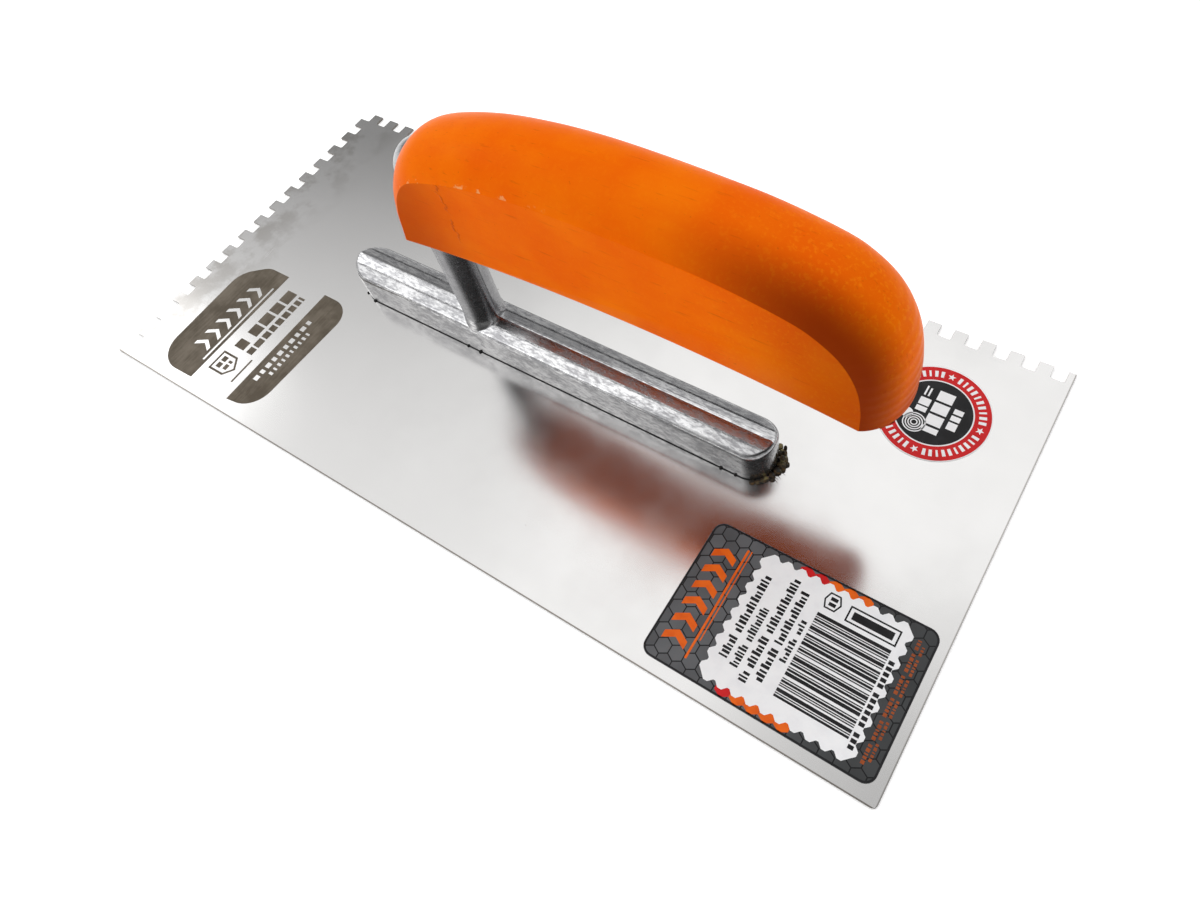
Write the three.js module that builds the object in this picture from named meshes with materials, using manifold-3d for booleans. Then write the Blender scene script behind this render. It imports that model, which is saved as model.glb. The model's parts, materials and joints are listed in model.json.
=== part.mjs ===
// Notched adhesive trowel: a stainless sheet notched on two edges, a die-cast
// aluminium foot riveted under the sheet's middle, and a lacquered wooden
// handle driven onto the foot's horizontal tang.
//
// Millimetres, +Z up. The origin is the middle of the blade's underside. +X runs
// along the blade towards the handle's free tail, +Y towards the long notched edge.
import * as THREE from 'three';
import { mergeVertices } from 'three/addons/utils/BufferGeometryUtils.js';
import Module from 'manifold-3d';

const wasm = await Module();
wasm.setup();

// ---------------------------------------------------------------- dimensions

const BLADE = {
  length: 270,
  width: 128,
  thickness: 0.7,
  cornerRadius: 1.2,
};

// Square teeth: each notch is as wide as it is deep, and as wide as the tooth beside it.
const NOTCH = {
  size: 4,
  pitch: 8,
  rootRadius: 0.5,
};

// The foot's bar lies on a thin film of sealant and has a shallow gabled top.
const BAR = {
  startX: -73,
  endX: 77,
  halfWidth: 7,
  shoulderZ: 12,
  ridgeZ: 14.5,
};
const FILM_THICKNESS = 0.25;
const FILM_OVERHANG = 0.15;

const POST = {
  x: -20.3,
  radius: 5.9,
  bendStartZ: 68,
  bendRadius: 5,
};

// The fillet at the post's root: [growth beyond the post's radius, height above the ridge].
const POST_FILLET = [
  [0.9, -4.5],
  [0.9, -0.6],
  [0.3, 0.8],
  [-0.1, 2.4],
];

// Barbed tail of the casting that the handle is driven onto.
const TANG = {
  collarLength: 1,
  neckLength: 2,
  coreRadius: 4.6,
  barbRadius: 5.1,
  barbHalfLength: 2,
  barbCount: 4,
  barbPitch: 10,
  tipLength: 2,
  tipTaper: 1.5,
  length: 52,
};

const RIVET = {
  count: 6,
  pitch: 25,
  headRadius: 3.4,
  shankRadius: 2,
  height: 6,
  clearance: 0.1,
  endClearance: 0.4,
};

// The handle's side view is its flat cheek, with an elliptical rim all round and
// a shallow arch of one radius along the fingers' side. The ellipse would reach
// further out than the cheeks, which cut it off in a crisp crease.
const HANDLE = {
  halfThickness: 11.8,
  ellipseHalfThickness: 13,
  rimDepth: 6.2,
  archX: 48,
  archTopZ: 60.2,
  archRadius: 424,
};
const CHEEK_OUTLINE = [
  [-24.5, 40.0],
  [-20.4, 57.3],
  [-18.9, 63.6],
  [-16.4, 69.9],
  [-12.5, 75.2],
  [-7.2, 78.7],
  [5.4, 82.6],
  [18.7, 84.9],
  [31.9, 86.0],
  [45.0, 86.1],
  [58.2, 85.7],
  [71.5, 84.8],
  [84.8, 82.5],
  [90.8, 80.1],
  [95.7, 76.2],
  [99.0, 70.5],
  [100.5, 63.7],
  [100.8, 57.3],
  [101.3, 40.0],
];

// Two corners well under the arch, which cuts them away.
const CHEEK_BASE = [
  [101.8, 20],
  [-29.5, 20],
];
const BORE = {
  radius: 6.25,
  glueStart: 4,
  glueOuterRadius: 5.95,
  glueInnerRadius: 5.4,
  glueEndGap: 0.5,
  blindGap: 2.5,
};

const PRODUCT_LABEL = {
  minX: 71.4,
  maxX: 132.4,
  minY: -60.5,
  maxY: -20.7,
  cornerRadius: 3,
  thickness: 0.12,
};
const ROUND_BADGE = {
  x: 106.4,
  y: 35.3,
  radius: 15.3,
  thickness: 0.12,
};

// Sealant squeezed out from under the bar's tail end.
const BEAD = {
  innerRadius: 7.3,
  footRadius: 10.4,
  shoulderRadius: 8.3,
  shoulderHeight: 2.04,
  height: 3.4,
  startAngle: -0.45,
  endAngle: 0.95,
};

const ROUND_SEGMENTS = 32;
const BEND_SEGMENTS = 48;
const RIVET_SEGMENTS = 24;
const BEAD_SEGMENTS = 60;
const BADGE_SEGMENTS = 48;
const OUTLINE_SEGMENTS = 72;
const RIM_SEGMENTS = 9;
const ARCH_SEGMENTS = 24;
const BAR_END_SEGMENTS = 12;
const LABEL_CORNER_SEGMENTS = 6;
const NOTCH_ROOT_SEGMENTS = 2;

const WELD_DISTANCE = 1e-4;
const JOIN_OVERLAP = 0.01;
const BEND_CORE = 0.05;
const OVERCUT = 5;
const ARCH_REACH = 90;
const FAR = 200;

// ------------------------------------------------------------------ finishes

const STEEL = { color: 0xb4b3b2, roughness: 0.3, metalness: 1 };
const CAST_ALUMINIUM = { color: 0xa6a7a8, roughness: 0.42, metalness: 1 };
const LACQUERED_WOOD = { color: 0xe8640c, roughness: 0.38, metalness: 0 };
const GLUE = { color: 0xc9b184, roughness: 0.6, metalness: 0 };
const BLACK_SEALANT = { color: 0x201c17, roughness: 0.8, metalness: 0 };
const BROWN_SEALANT = { color: 0x4a3d24, roughness: 0.9, metalness: 0 };
const LABEL_PRINT = { color: 0x4a4b4c, roughness: 0.4, metalness: 0 };
const BADGE_PRINT = { color: 0xc4161c, roughness: 0.35, metalness: 0 };
const RIVET_ALUMINIUM = { color: 0xc2c3c4, roughness: 0.35, metalness: 1 };

// ------------------------------------------------------------------- helpers

function toSolid(geometry) {
  const bare = geometry.clone();
  bare.deleteAttribute('normal');
  bare.deleteAttribute('uv');
  const merged = mergeVertices(bare, WELD_DISTANCE);
  const mesh = new wasm.Mesh({
    numProp: 3,
    vertProperties: new Float32Array(merged.attributes.position.array),
    triVerts: new Uint32Array(merged.index.array),
  });
  return new wasm.Manifold(mesh);
}

function toGeometry(solid) {
  const mesh = solid.getMesh();
  const geometry = new THREE.BufferGeometry();
  geometry.setAttribute('position', new THREE.BufferAttribute(mesh.vertProperties, 3));
  geometry.setIndex(new THREE.BufferAttribute(mesh.triVerts, 1));
  geometry.computeVertexNormals();
  return geometry;
}

function piece(name, solid, finish) {
  const mesh = new THREE.Mesh(toGeometry(solid), new THREE.MeshStandardMaterial(finish));
  mesh.name = name;
  return mesh;
}

function box(minX, maxX, minY, maxY, minZ, maxZ) {
  const geometry = new THREE.BoxGeometry(maxX - minX, maxY - minY, maxZ - minZ);
  geometry.translate((minX + maxX) / 2, (minY + maxY) / 2, (minZ + maxZ) / 2);
  return geometry;
}

// A closed turned shape about the Z axis from [radius, z] pairs that go upwards.
function turned(profile, segments) {
  const points = profile.map(([radius, z]) => new THREE.Vector2(radius, z));
  const geometry = new THREE.LatheGeometry(points, segments);
  geometry.rotateX(Math.PI / 2);
  return geometry;
}

function uprightCylinder(x, radius, minZ, maxZ, segments) {
  const geometry = turned([[0, minZ], [radius, minZ], [radius, maxZ], [0, maxZ]], segments);
  geometry.translate(x, 0, 0);
  return geometry;
}

// A shape turned about an axis parallel to X, from [radius, x] pairs that go towards +X.
function turnedAlongX(profile, z, segments) {
  const geometry = turned(profile, segments);
  geometry.rotateY(Math.PI / 2);
  geometry.translate(0, 0, z);
  return geometry;
}

// A closed outline whose corners [x, y, radius] are rounded where the radius isn't zero.
function roundedOutline(corners) {
  const shape = new THREE.Shape();
  corners.forEach(([x, y, radius], index) => {
    const corner = new THREE.Vector2(x, y);
    const before = corners.at(index - 1);
    const after = corners[(index + 1) % corners.length];
    const towardsBefore = new THREE.Vector2(before[0] - x, before[1] - y).setLength(radius);
    const towardsAfter = new THREE.Vector2(after[0] - x, after[1] - y).setLength(radius);
    const arcStart = corner.clone().add(towardsBefore);
    const arcEnd = corner.clone().add(towardsAfter);
    if (index === 0) {
      shape.moveTo(arcStart.x, arcStart.y);
    } else {
      shape.lineTo(arcStart.x, arcStart.y);
    }
    if (radius > 0) {
      shape.quadraticCurveTo(x, y, arcEnd.x, arcEnd.y);
    }
  });
  return shape;
}

// A bar outline with full-round ends, grown by a margin all round.
function stadium(margin) {
  const radius = BAR.halfWidth + margin;
  const shape = new THREE.Shape();
  shape.absarc(BAR.endX - BAR.halfWidth, 0, radius, -Math.PI / 2, Math.PI / 2);
  shape.absarc(BAR.startX + BAR.halfWidth, 0, radius, Math.PI / 2, (3 * Math.PI) / 2);
  return shape;
}

function plate(shape, bottomZ, thickness, curveSegments) {
  const geometry = new THREE.ExtrudeGeometry(shape, {
    depth: thickness,
    bevelEnabled: false,
    curveSegments,
  });
  geometry.translate(0, 0, bottomZ);
  return geometry;
}

// -------------------------------------------------------------------- rivets

function rivetPlaces() {
  const middle = (BAR.startX + BAR.endX) / 2;
  const places = [];
  for (let index = 0; index < RIVET.count; index += 1) {
    places.push(middle + (index - (RIVET.count - 1) / 2) * RIVET.pitch);
  }
  return places;
}

// Countersunk flush with the underside, with a plain shank up into a blind hole.
function rivetShape(growth, bottomZ, topZ) {
  return turned([
    [0, bottomZ],
    [RIVET.headRadius + growth, bottomZ],
    [RIVET.shankRadius + growth, BLADE.thickness],
    [RIVET.shankRadius + growth, topZ],
    [0, topZ],
  ], RIVET_SEGMENTS);
}

function rivetHoles() {
  const topZ = RIVET.height + RIVET.endClearance;
  return rivetPlaces().map((x) => {
    const hole = rivetShape(RIVET.clearance, 0, topZ).translate(x, 0, 0);
    return toSolid(hole);
  });
}

// --------------------------------------------------------------------- blade

function bladeOutline() {
  const halfLength = BLADE.length / 2;
  const halfWidth = BLADE.width / 2;
  const depth = NOTCH.size;
  const corners = [
    [-halfLength, -halfWidth, 0],
    [halfLength, -halfWidth, BLADE.cornerRadius],
    [halfLength, halfWidth, 0],
  ];
  // The long edge, from +X to -X. The first notch of the loop ends 2 mm from the corner.
  const longNotches = Math.floor(BLADE.length / NOTCH.pitch);
  for (let index = longNotches; index > 0; index -= 1) {
    const mouth = -halfLength + index * NOTCH.pitch;
    corners.push([mouth + depth, halfWidth, 0]);
    corners.push([mouth + depth, halfWidth - depth, NOTCH.rootRadius]);
    corners.push([mouth, halfWidth - depth, NOTCH.rootRadius]);
    corners.push([mouth, halfWidth, 0]);
  }
  // The two notched edges share a notch, which takes the corner off.
  corners.push([-halfLength + depth, halfWidth, 0]);
  corners.push([-halfLength + depth, halfWidth - depth, NOTCH.rootRadius]);
  corners.push([-halfLength, halfWidth - depth, 0]);
  // The short edge, from +Y to -Y.
  const shortNotches = Math.floor(BLADE.width / NOTCH.pitch) - 1;
  for (let index = shortNotches; index > 0; index -= 1) {
    const mouth = -halfWidth + index * NOTCH.pitch;
    corners.push([-halfLength, mouth, 0]);
    corners.push([-halfLength + depth, mouth, NOTCH.rootRadius]);
    corners.push([-halfLength + depth, mouth - depth, NOTCH.rootRadius]);
    corners.push([-halfLength, mouth - depth, 0]);
  }
  return roundedOutline(corners);
}

function makeBlade() {
  const sheet = toSolid(plate(bladeOutline(), 0, BLADE.thickness, NOTCH_ROOT_SEGMENTS));
  const drilled = rivetHoles().reduce((solid, hole) => solid.subtract(hole), sheet);
  return piece('blade', drilled, STEEL);
}

// ---------------------------------------------------------------------- foot

const FOOT_BOTTOM = BLADE.thickness + FILM_THICKNESS;
const TANG_Z = POST.bendStartZ + POST.bendRadius;
const TANG_START = POST.x + POST.bendRadius;
const TANG_END = TANG_START + TANG.length;

function gabledBar() {
  const block = plate(stadium(0), FOOT_BOTTOM, BAR.ridgeZ, BAR_END_SEGMENTS);
  const slope = (BAR.ridgeZ - BAR.shoulderZ) / BAR.halfWidth;
  const eaveY = BAR.halfWidth + OVERCUT;
  const eaveZ = BAR.ridgeZ - slope * eaveY;
  const gable = new THREE.Shape();
  gable.moveTo(-eaveY, 0);
  gable.lineTo(eaveY, 0);
  gable.lineTo(eaveY, eaveZ);
  gable.lineTo(0, BAR.ridgeZ);
  gable.lineTo(-eaveY, eaveZ);
  const length = BAR.endX - BAR.startX + 2 * OVERCUT;
  const roof = plate(gable, 0, length);
  // The section's own X and Y become the bar's Y and Z.
  roof.rotateX(Math.PI / 2);
  roof.rotateZ(Math.PI / 2);
  roof.translate(BAR.startX - OVERCUT, 0, 0);
  return toSolid(block).intersect(toSolid(roof));
}

// The quarter bend between the post and the tang, grown by a margin all round.
function elbow(margin) {
  const tubeRadius = POST.radius + margin;
  const ring = [];
  for (let index = 0; index < ROUND_SEGMENTS; index += 1) {
    const angle = (2 * Math.PI * index) / ROUND_SEGMENTS;
    const fromAxis = Math.max(POST.bendRadius + tubeRadius * Math.cos(angle), BEND_CORE);
    ring.push(new THREE.Vector2(fromAxis, tubeRadius * Math.sin(angle)));
  }
  ring.push(ring[0].clone());
  const fullTurn = new THREE.LatheGeometry(ring, BEND_SEGMENTS);
  fullTurn.translate(TANG_START, 0, POST.bendStartZ);
  const reach = tubeRadius + OVERCUT;
  const upperFront = box(
    POST.x - reach, TANG_START,
    -reach, reach,
    POST.bendStartZ, TANG_Z + reach,
  );
  return toSolid(fullTurn).intersect(toSolid(upperFront));
}

function tangProfile() {
  const collarEnd = TANG_START + TANG.collarLength;
  const profile = [[0, TANG_START - OVERCUT], [POST.radius, TANG_START - OVERCUT]];
  profile.push([POST.radius, collarEnd]);
  profile.push([TANG.coreRadius, collarEnd + TANG.neckLength]);
  for (let index = 1; index <= TANG.barbCount; index += 1) {
    const x = TANG_START + index * TANG.barbPitch;
    profile.push([TANG.coreRadius, x - TANG.barbHalfLength]);
    profile.push([TANG.barbRadius, x - TANG.barbHalfLength]);
    profile.push([TANG.coreRadius, x + TANG.barbHalfLength]);
  }
  profile.push([TANG.coreRadius, TANG_END - TANG.tipLength]);
  profile.push([TANG.coreRadius - TANG.tipTaper, TANG_END]);
  profile.push([0, TANG_END]);
  return profile;
}

function postFillet() {
  const profile = POST_FILLET.map(([growth, rise]) => [POST.radius + growth, BAR.ridgeZ + rise]);
  const [, bottomZ] = profile.at(0);
  const [, topZ] = profile.at(-1);
  const closed = [[0, bottomZ], ...profile, [0, topZ]];
  return turned(closed, ROUND_SEGMENTS).translate(POST.x, 0, 0);
}

function makeFoot() {
  const postBottom = FOOT_BOTTOM + FILM_THICKNESS;
  const postTop = POST.bendStartZ + JOIN_OVERLAP;
  const post = uprightCylinder(POST.x, POST.radius, postBottom, postTop, ROUND_SEGMENTS);
  const tang = turnedAlongX(tangProfile(), TANG_Z, ROUND_SEGMENTS);
  const cast = gabledBar().add(toSolid(post)).add(toSolid(postFillet()));
  const bent = cast.add(elbow(0)).add(toSolid(tang));
  const drilled = rivetHoles().reduce((solid, hole) => solid.subtract(hole), bent);
  return piece('foot', drilled, CAST_ALUMINIUM);
}

// -------------------------------------------------------------------- handle

// Everything below the arch that the fingers go round, with the arch's own curve on top.
function underArch() {
  const side = new THREE.Shape();
  const halfAngle = Math.asin(ARCH_REACH / HANDLE.archRadius);
  side.absarc(
    HANDLE.archX, HANDLE.archTopZ - HANDLE.archRadius, HANDLE.archRadius,
    Math.PI / 2 + halfAngle, Math.PI / 2 - halfAngle, true,
  );
  side.lineTo(HANDLE.archX + ARCH_REACH, 0);
  side.lineTo(HANDLE.archX - ARCH_REACH, 0);
  const width = 2 * (HANDLE.halfThickness + OVERCUT);
  const below = plate(side, -width / 2, width, ARCH_SEGMENTS);
  return below.rotateX(Math.PI / 2);
}

// The handle before it's hollowed: a full elliptical rim, sawn flat at the two cheeks.
function handleBulk() {
  const toPoint = ([x, z]) => new THREE.Vector2(x, z);
  const curve = new THREE.SplineCurve(CHEEK_OUTLINE.map(toPoint));
  const base = CHEEK_BASE.map(toPoint);
  const outline = new THREE.Shape([...curve.getSpacedPoints(OUTLINE_SEGMENTS), ...base]);
  const cheekShare = HANDLE.halfThickness / HANDLE.ellipseHalfThickness;
  const creaseShare = Math.sqrt(1 - cheekShare ** 2);
  const ellipseDepth = HANDLE.rimDepth / (1 - creaseShare);
  const full = new THREE.ExtrudeGeometry(outline, {
    depth: JOIN_OVERLAP,
    bevelEnabled: true,
    bevelThickness: HANDLE.ellipseHalfThickness,
    bevelSize: ellipseDepth,
    bevelOffset: HANDLE.rimDepth - ellipseDepth,
    bevelSegments: RIM_SEGMENTS,
  });
  full.translate(0, 0, -JOIN_OVERLAP / 2);
  full.rotateX(Math.PI / 2);
  const sawn = box(-FAR, FAR, -HANDLE.halfThickness, HANDLE.halfThickness, 0, FAR);
  return toSolid(full).intersect(toSolid(sawn));
}

function makeHandle() {
  const wood = handleBulk().subtract(toSolid(underArch()));

  // The bore for the tang runs on out of the front, and the post's slot opens into it.
  const boreEnd = TANG_END + BORE.blindGap;
  const bore = turnedAlongX([
    [0, -FAR],
    [BORE.radius, -FAR],
    [BORE.radius, boreEnd],
    [0, boreEnd],
  ], TANG_Z, ROUND_SEGMENTS);
  const slot = box(-FAR, POST.x, -BORE.radius, BORE.radius, 0, TANG_Z);
  const slotEnd = uprightCylinder(POST.x, BORE.radius, 0, TANG_Z, ROUND_SEGMENTS);
  const bend = elbow(BORE.radius - POST.radius);
  const cutters = [toSolid(bore), toSolid(slot), toSolid(slotEnd), bend];
  const hollowed = cutters.reduce((solid, cutter) => solid.subtract(cutter), wood);
  return piece('handle', hollowed, LACQUERED_WOOD);
}

// A sleeve of glue round the tang, inside the handle's bore.
function makeHandleGlue() {
  const startX = TANG_START + BORE.glueStart;
  const endX = TANG_END - BORE.glueEndGap;
  const sleeve = turnedAlongX([
    [BORE.glueInnerRadius, startX],
    [BORE.glueOuterRadius, startX],
    [BORE.glueOuterRadius, endX],
    [BORE.glueInnerRadius, endX],
    [BORE.glueInnerRadius, startX],
  ], TANG_Z, ROUND_SEGMENTS);
  return piece('handle_glue', toSolid(sleeve), GLUE);
}

// ---------------------------------------------------------- sealant and labels

function makeSealantFilm() {
  const outline = stadium(FILM_OVERHANG);
  const film = toSolid(plate(outline, BLADE.thickness, FILM_THICKNESS, BAR_END_SEGMENTS));
  const pierced = rivetHoles().reduce((solid, hole) => solid.subtract(hole), film);
  return piece('sealant_film', pierced, BLACK_SEALANT);
}

function makeSealantBead() {
  const wedge = turned([
    [BEAD.innerRadius, BLADE.thickness],
    [BEAD.footRadius, BLADE.thickness],
    [BEAD.shoulderRadius, BLADE.thickness + BEAD.shoulderHeight],
    [BEAD.innerRadius, BLADE.thickness + BEAD.height],
    [BEAD.innerRadius, BLADE.thickness],
  ], BEAD_SEGMENTS);
  const reach = 2 * BEAD.footRadius;
  const sector = new THREE.Shape();
  sector.moveTo(0, 0);
  sector.lineTo(reach * Math.cos(BEAD.startAngle), reach * Math.sin(BEAD.startAngle));
  sector.lineTo(reach * Math.cos(BEAD.endAngle), reach * Math.sin(BEAD.endAngle));
  const keep = plate(sector, -OVERCUT, BEAD.height + 2 * OVERCUT);
  const bead = toSolid(wedge).intersect(toSolid(keep));
  const placed = bead.translate([BAR.endX - BAR.halfWidth, 0, 0]);
  return piece('sealant_bead', placed, BROWN_SEALANT);
}

function makeProductLabel() {
  const label = PRODUCT_LABEL;
  const outline = roundedOutline([
    [label.minX, label.minY, label.cornerRadius],
    [label.maxX, label.minY, label.cornerRadius],
    [label.maxX, label.maxY, label.cornerRadius],
    [label.minX, label.maxY, label.cornerRadius],
  ]);
  const sheet = plate(outline, BLADE.thickness, label.thickness, LABEL_CORNER_SEGMENTS);
  return piece('product_label', toSolid(sheet), LABEL_PRINT);
}

function makeRoundBadge() {
  const { x, y, radius, thickness } = ROUND_BADGE;
  const topZ = BLADE.thickness + thickness;
  const disc = uprightCylinder(x, radius, BLADE.thickness, topZ, BADGE_SEGMENTS);
  return piece('round_badge', toSolid(disc.translate(0, y, 0)), BADGE_PRINT);
}

// ------------------------------------------------------------------ assembly

const trowel = new THREE.Group();
trowel.add(makeBlade());
trowel.add(makeFoot());
trowel.add(makeHandle());
trowel.add(makeHandleGlue());
trowel.add(makeSealantFilm());
trowel.add(makeSealantBead());
trowel.add(makeProductLabel());
trowel.add(makeRoundBadge());
rivetPlaces().forEach((x, index) => {
  const shape = toSolid(rivetShape(0, 0, RIVET.height));
  const rivet = piece(`rivet_${index + 1}`, shape, RIVET_ALUMINIUM);
  rivet.position.x = x;
  trowel.add(rivet);
});

export default trowel;
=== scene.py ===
"""Looks of a notched adhesive trowel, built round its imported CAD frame.

Metres, +Z up. The blade's underside lies on z = 0, +X runs towards the handle's
free tail and +Y towards the long notched edge.
"""

import json
import logging
import math
from contextlib import contextmanager
from dataclasses import dataclass, field
from enum import Enum
from typing import Callable, Iterator, Sequence

import bpy
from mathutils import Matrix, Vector

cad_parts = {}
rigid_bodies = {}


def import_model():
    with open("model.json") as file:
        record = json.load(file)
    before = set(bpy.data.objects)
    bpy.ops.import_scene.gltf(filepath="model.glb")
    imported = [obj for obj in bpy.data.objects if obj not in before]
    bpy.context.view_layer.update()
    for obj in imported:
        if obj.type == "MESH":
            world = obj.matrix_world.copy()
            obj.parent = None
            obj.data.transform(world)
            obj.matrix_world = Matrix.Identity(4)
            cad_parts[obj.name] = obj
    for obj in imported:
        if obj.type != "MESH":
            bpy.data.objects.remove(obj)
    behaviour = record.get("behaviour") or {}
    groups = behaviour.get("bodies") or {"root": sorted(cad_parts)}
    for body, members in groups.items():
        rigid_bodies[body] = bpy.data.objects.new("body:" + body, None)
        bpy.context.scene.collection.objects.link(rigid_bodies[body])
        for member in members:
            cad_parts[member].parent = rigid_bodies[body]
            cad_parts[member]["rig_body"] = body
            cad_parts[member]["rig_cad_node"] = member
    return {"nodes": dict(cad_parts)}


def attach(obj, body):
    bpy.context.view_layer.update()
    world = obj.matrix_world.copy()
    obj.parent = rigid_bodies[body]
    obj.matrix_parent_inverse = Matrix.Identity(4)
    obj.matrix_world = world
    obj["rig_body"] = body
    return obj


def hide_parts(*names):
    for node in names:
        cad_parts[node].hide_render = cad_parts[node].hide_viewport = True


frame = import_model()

logging.basicConfig(level=logging.INFO, format="%(name)s: %(message)s")
LOG = logging.getLogger("trowel")

MM = 0.001
TAU = 2 * math.pi
SHEET_TOP = 0.7 * MM
WELD = 1e-7
Colour = tuple[float, float, float]
Point = tuple[float, float]
Object = bpy.types.Object
Socket = bpy.types.NodeSocket


class Kind(Enum):
    """The kinds of mesh element that can be picked."""

    VERT = "VERT"
    EDGE = "EDGE"
    FACE = "FACE"


class Cut(Enum):
    """How one solid is combined with another."""

    JOIN = "UNION"
    REMOVE = "DIFFERENCE"


class Slot(Enum):
    """Material slots of the record that the pieces take their finish from."""

    STEEL = "blade_steel"
    CASTING = "cast_aluminium"
    WOOD = "lacquered_wood"
    GLUE = "glue"
    SEALANT = "sealant"
    LABEL = "label_print"
    BADGE = "badge_print"
    RIVET = "rivet_aluminium"


# ------------------------------------------------------------------ modelling


def deselect_all() -> None:
    """Leaves no object selected."""
    for obj in bpy.context.view_layer.objects:
        obj.select_set(False)


def make_active(obj: Object) -> None:
    """Selects one object alone and makes it the active one."""
    deselect_all()
    obj.select_set(True)
    bpy.context.view_layer.objects.active = obj


def new_piece(name: str) -> Object:
    """Names the primitive that was just added and returns it."""
    obj = bpy.context.active_object
    obj.name = name
    obj.data.name = name
    return obj


@contextmanager
def editing(obj: Object) -> Iterator[None]:
    """Holds an object in edit mode with nothing selected.

    Args:
        obj: The mesh object to edit.
    """
    make_active(obj)
    bpy.ops.object.mode_set(mode="EDIT")
    bpy.ops.mesh.select_mode(type="VERT")
    bpy.ops.mesh.select_all(action="DESELECT")
    yield
    bpy.ops.object.mode_set(mode="OBJECT")


def pick(obj: Object, kind: Kind, wanted: Callable[[Vector, Vector], bool]) -> None:
    """Selects the elements of an object in edit mode whose place and direction fit.

    Args:
        obj: The object being edited.
        kind: Which elements are looked at.
        wanted: Test on an element's middle and its direction: a face's or a vertex's
            normal, or an edge's line from end to end.
    """
    bpy.ops.mesh.select_mode(type=kind.value)
    bpy.ops.mesh.select_all(action="DESELECT")
    bpy.ops.object.mode_set(mode="OBJECT")
    mesh = obj.data
    if kind is Kind.FACE:
        for face in mesh.polygons:
            face.select = wanted(face.center, face.normal)
    elif kind is Kind.EDGE:
        for edge in mesh.edges:
            start, end = (mesh.vertices[index].co for index in edge.vertices)
            edge.select = wanted((start + end) / 2, end - start)
    else:
        for vertex in mesh.vertices:
            vertex.select = wanted(vertex.co, vertex.normal)
    bpy.ops.object.mode_set(mode="EDIT")


def settle_place(obj: Object) -> None:
    """Puts an object's place, turn and size into its mesh, which leaves it at the origin."""
    make_active(obj)
    bpy.ops.object.transform_apply(location=True, rotation=True, scale=True)


def face_outwards(obj: Object) -> None:
    """Merges doubled points and turns every face outwards."""
    with editing(obj):
        bpy.ops.mesh.select_all(action="SELECT")
        bpy.ops.mesh.remove_doubles(threshold=WELD)
        bpy.ops.mesh.normals_make_consistent(inside=False)


def apply_modifier(obj: Object, kind: str, **settings: object) -> None:
    """Adds a modifier to an object and applies it.

    Args:
        obj: The object to change.
        kind: The modifier's type name.
        **settings: Values for the modifier's own properties.
    """
    make_active(obj)
    bpy.ops.object.modifier_add(type=kind)
    modifier = obj.modifiers[-1]
    for key, value in settings.items():
        setattr(modifier, key, value)
    bpy.ops.object.modifier_apply(modifier=modifier.name)


def combine(obj: Object, tool: Object, cut: Cut) -> None:
    """Joins a tool solid to an object or removes it from the object, and deletes the tool.

    Args:
        obj: The object that is kept.
        tool: The solid that is joined or removed.
        cut: Which of the two is done.
    """
    settle_place(tool)
    apply_modifier(obj, "BOOLEAN", operation=cut.value, object=tool, solver="EXACT")
    bpy.data.objects.remove(tool)


def join_all(name: str, parts: Sequence[Object]) -> Object:
    """Joins several objects into one object.

    Args:
        name: The joined object's name.
        parts: The objects to join; the first one is kept.

    Returns:
        The joined object.
    """
    for part in parts:
        settle_place(part)
    deselect_all()
    for part in parts:
        part.select_set(True)
    bpy.context.view_layer.objects.active = parts[0]
    bpy.ops.object.join()
    return new_piece(name)


def draw_outline(name: str, points: Sequence[Vector]) -> Object:
    """Draws a closed flat outline by extruding one point along it, and fills it.

    Args:
        name: The new object's name.
        points: The outline's corners in order.

    Returns:
        The new object, with a single face.
    """
    bpy.ops.mesh.primitive_plane_add(size=MM, location=(0, 0, 0))
    obj = new_piece(name)
    with editing(obj):
        bpy.ops.mesh.select_all(action="SELECT")
        bpy.ops.mesh.merge(type="CENTER")
        bpy.ops.transform.translate(value=points[0])
        for before, after in zip(points, points[1:]):
            bpy.ops.mesh.extrude_vertices_move(
                TRANSFORM_OT_translate={"value": after - before}
            )
        bpy.ops.mesh.select_all(action="SELECT")
        bpy.ops.mesh.edge_face_add()
    return obj


def thicken(obj: Object, rise: Vector) -> None:
    """Extrudes a flat face along a direction into a closed solid."""
    with editing(obj):
        bpy.ops.mesh.select_all(action="SELECT")
        bpy.ops.mesh.extrude_region_move(TRANSFORM_OT_translate={"value": rise})
    face_outwards(obj)


def bevel_edges(
    obj: Object, width: float, segments: int, wanted: Callable[[Vector, Vector], bool]
) -> None:
    """Bevels the edges that fit a test.

    Args:
        obj: The object to change.
        width: How far the bevel reaches from each edge.
        segments: How many faces round the bevel has.
        wanted: Test on an edge's middle and its line.
    """
    with editing(obj):
        pick(obj, Kind.EDGE, wanted)
        bpy.ops.mesh.bevel(offset=width, segments=segments, profile=0.5, affect="EDGES")


def rounded_corners(corners: Sequence[tuple[float, float, float]], steps: int = 8) -> list[Point]:
    """Rounds the corners of a flat outline.

    Args:
        corners: Each corner's x, y and radius, in order; a radius of 0 stays sharp.
        steps: How many straight pieces make one rounding.

    Returns:
        The outline's points.
    """
    points: list[Point] = []
    for index, (x, y, radius) in enumerate(corners):
        corner = Vector((x, y))
        before = (Vector(corners[index - 1][:2]) - corner).normalized()
        after = (Vector(corners[(index + 1) % len(corners)][:2]) - corner).normalized()
        if radius == 0:
            points.append((x, y))
            continue
        half = before.angle(after) / 2
        centre = corner + (before + after).normalized() * (radius / math.sin(half))
        reach = radius / math.tan(half)
        start, end = corner + before * reach - centre, corner + after * reach - centre
        turn = start.angle_signed(end)
        for step in range(steps + 1):
            angle = math.atan2(start.y, start.x) - turn * step / steps
            points.append((centre.x + radius * math.cos(angle), centre.y + radius * math.sin(angle)))
    return points


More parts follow.
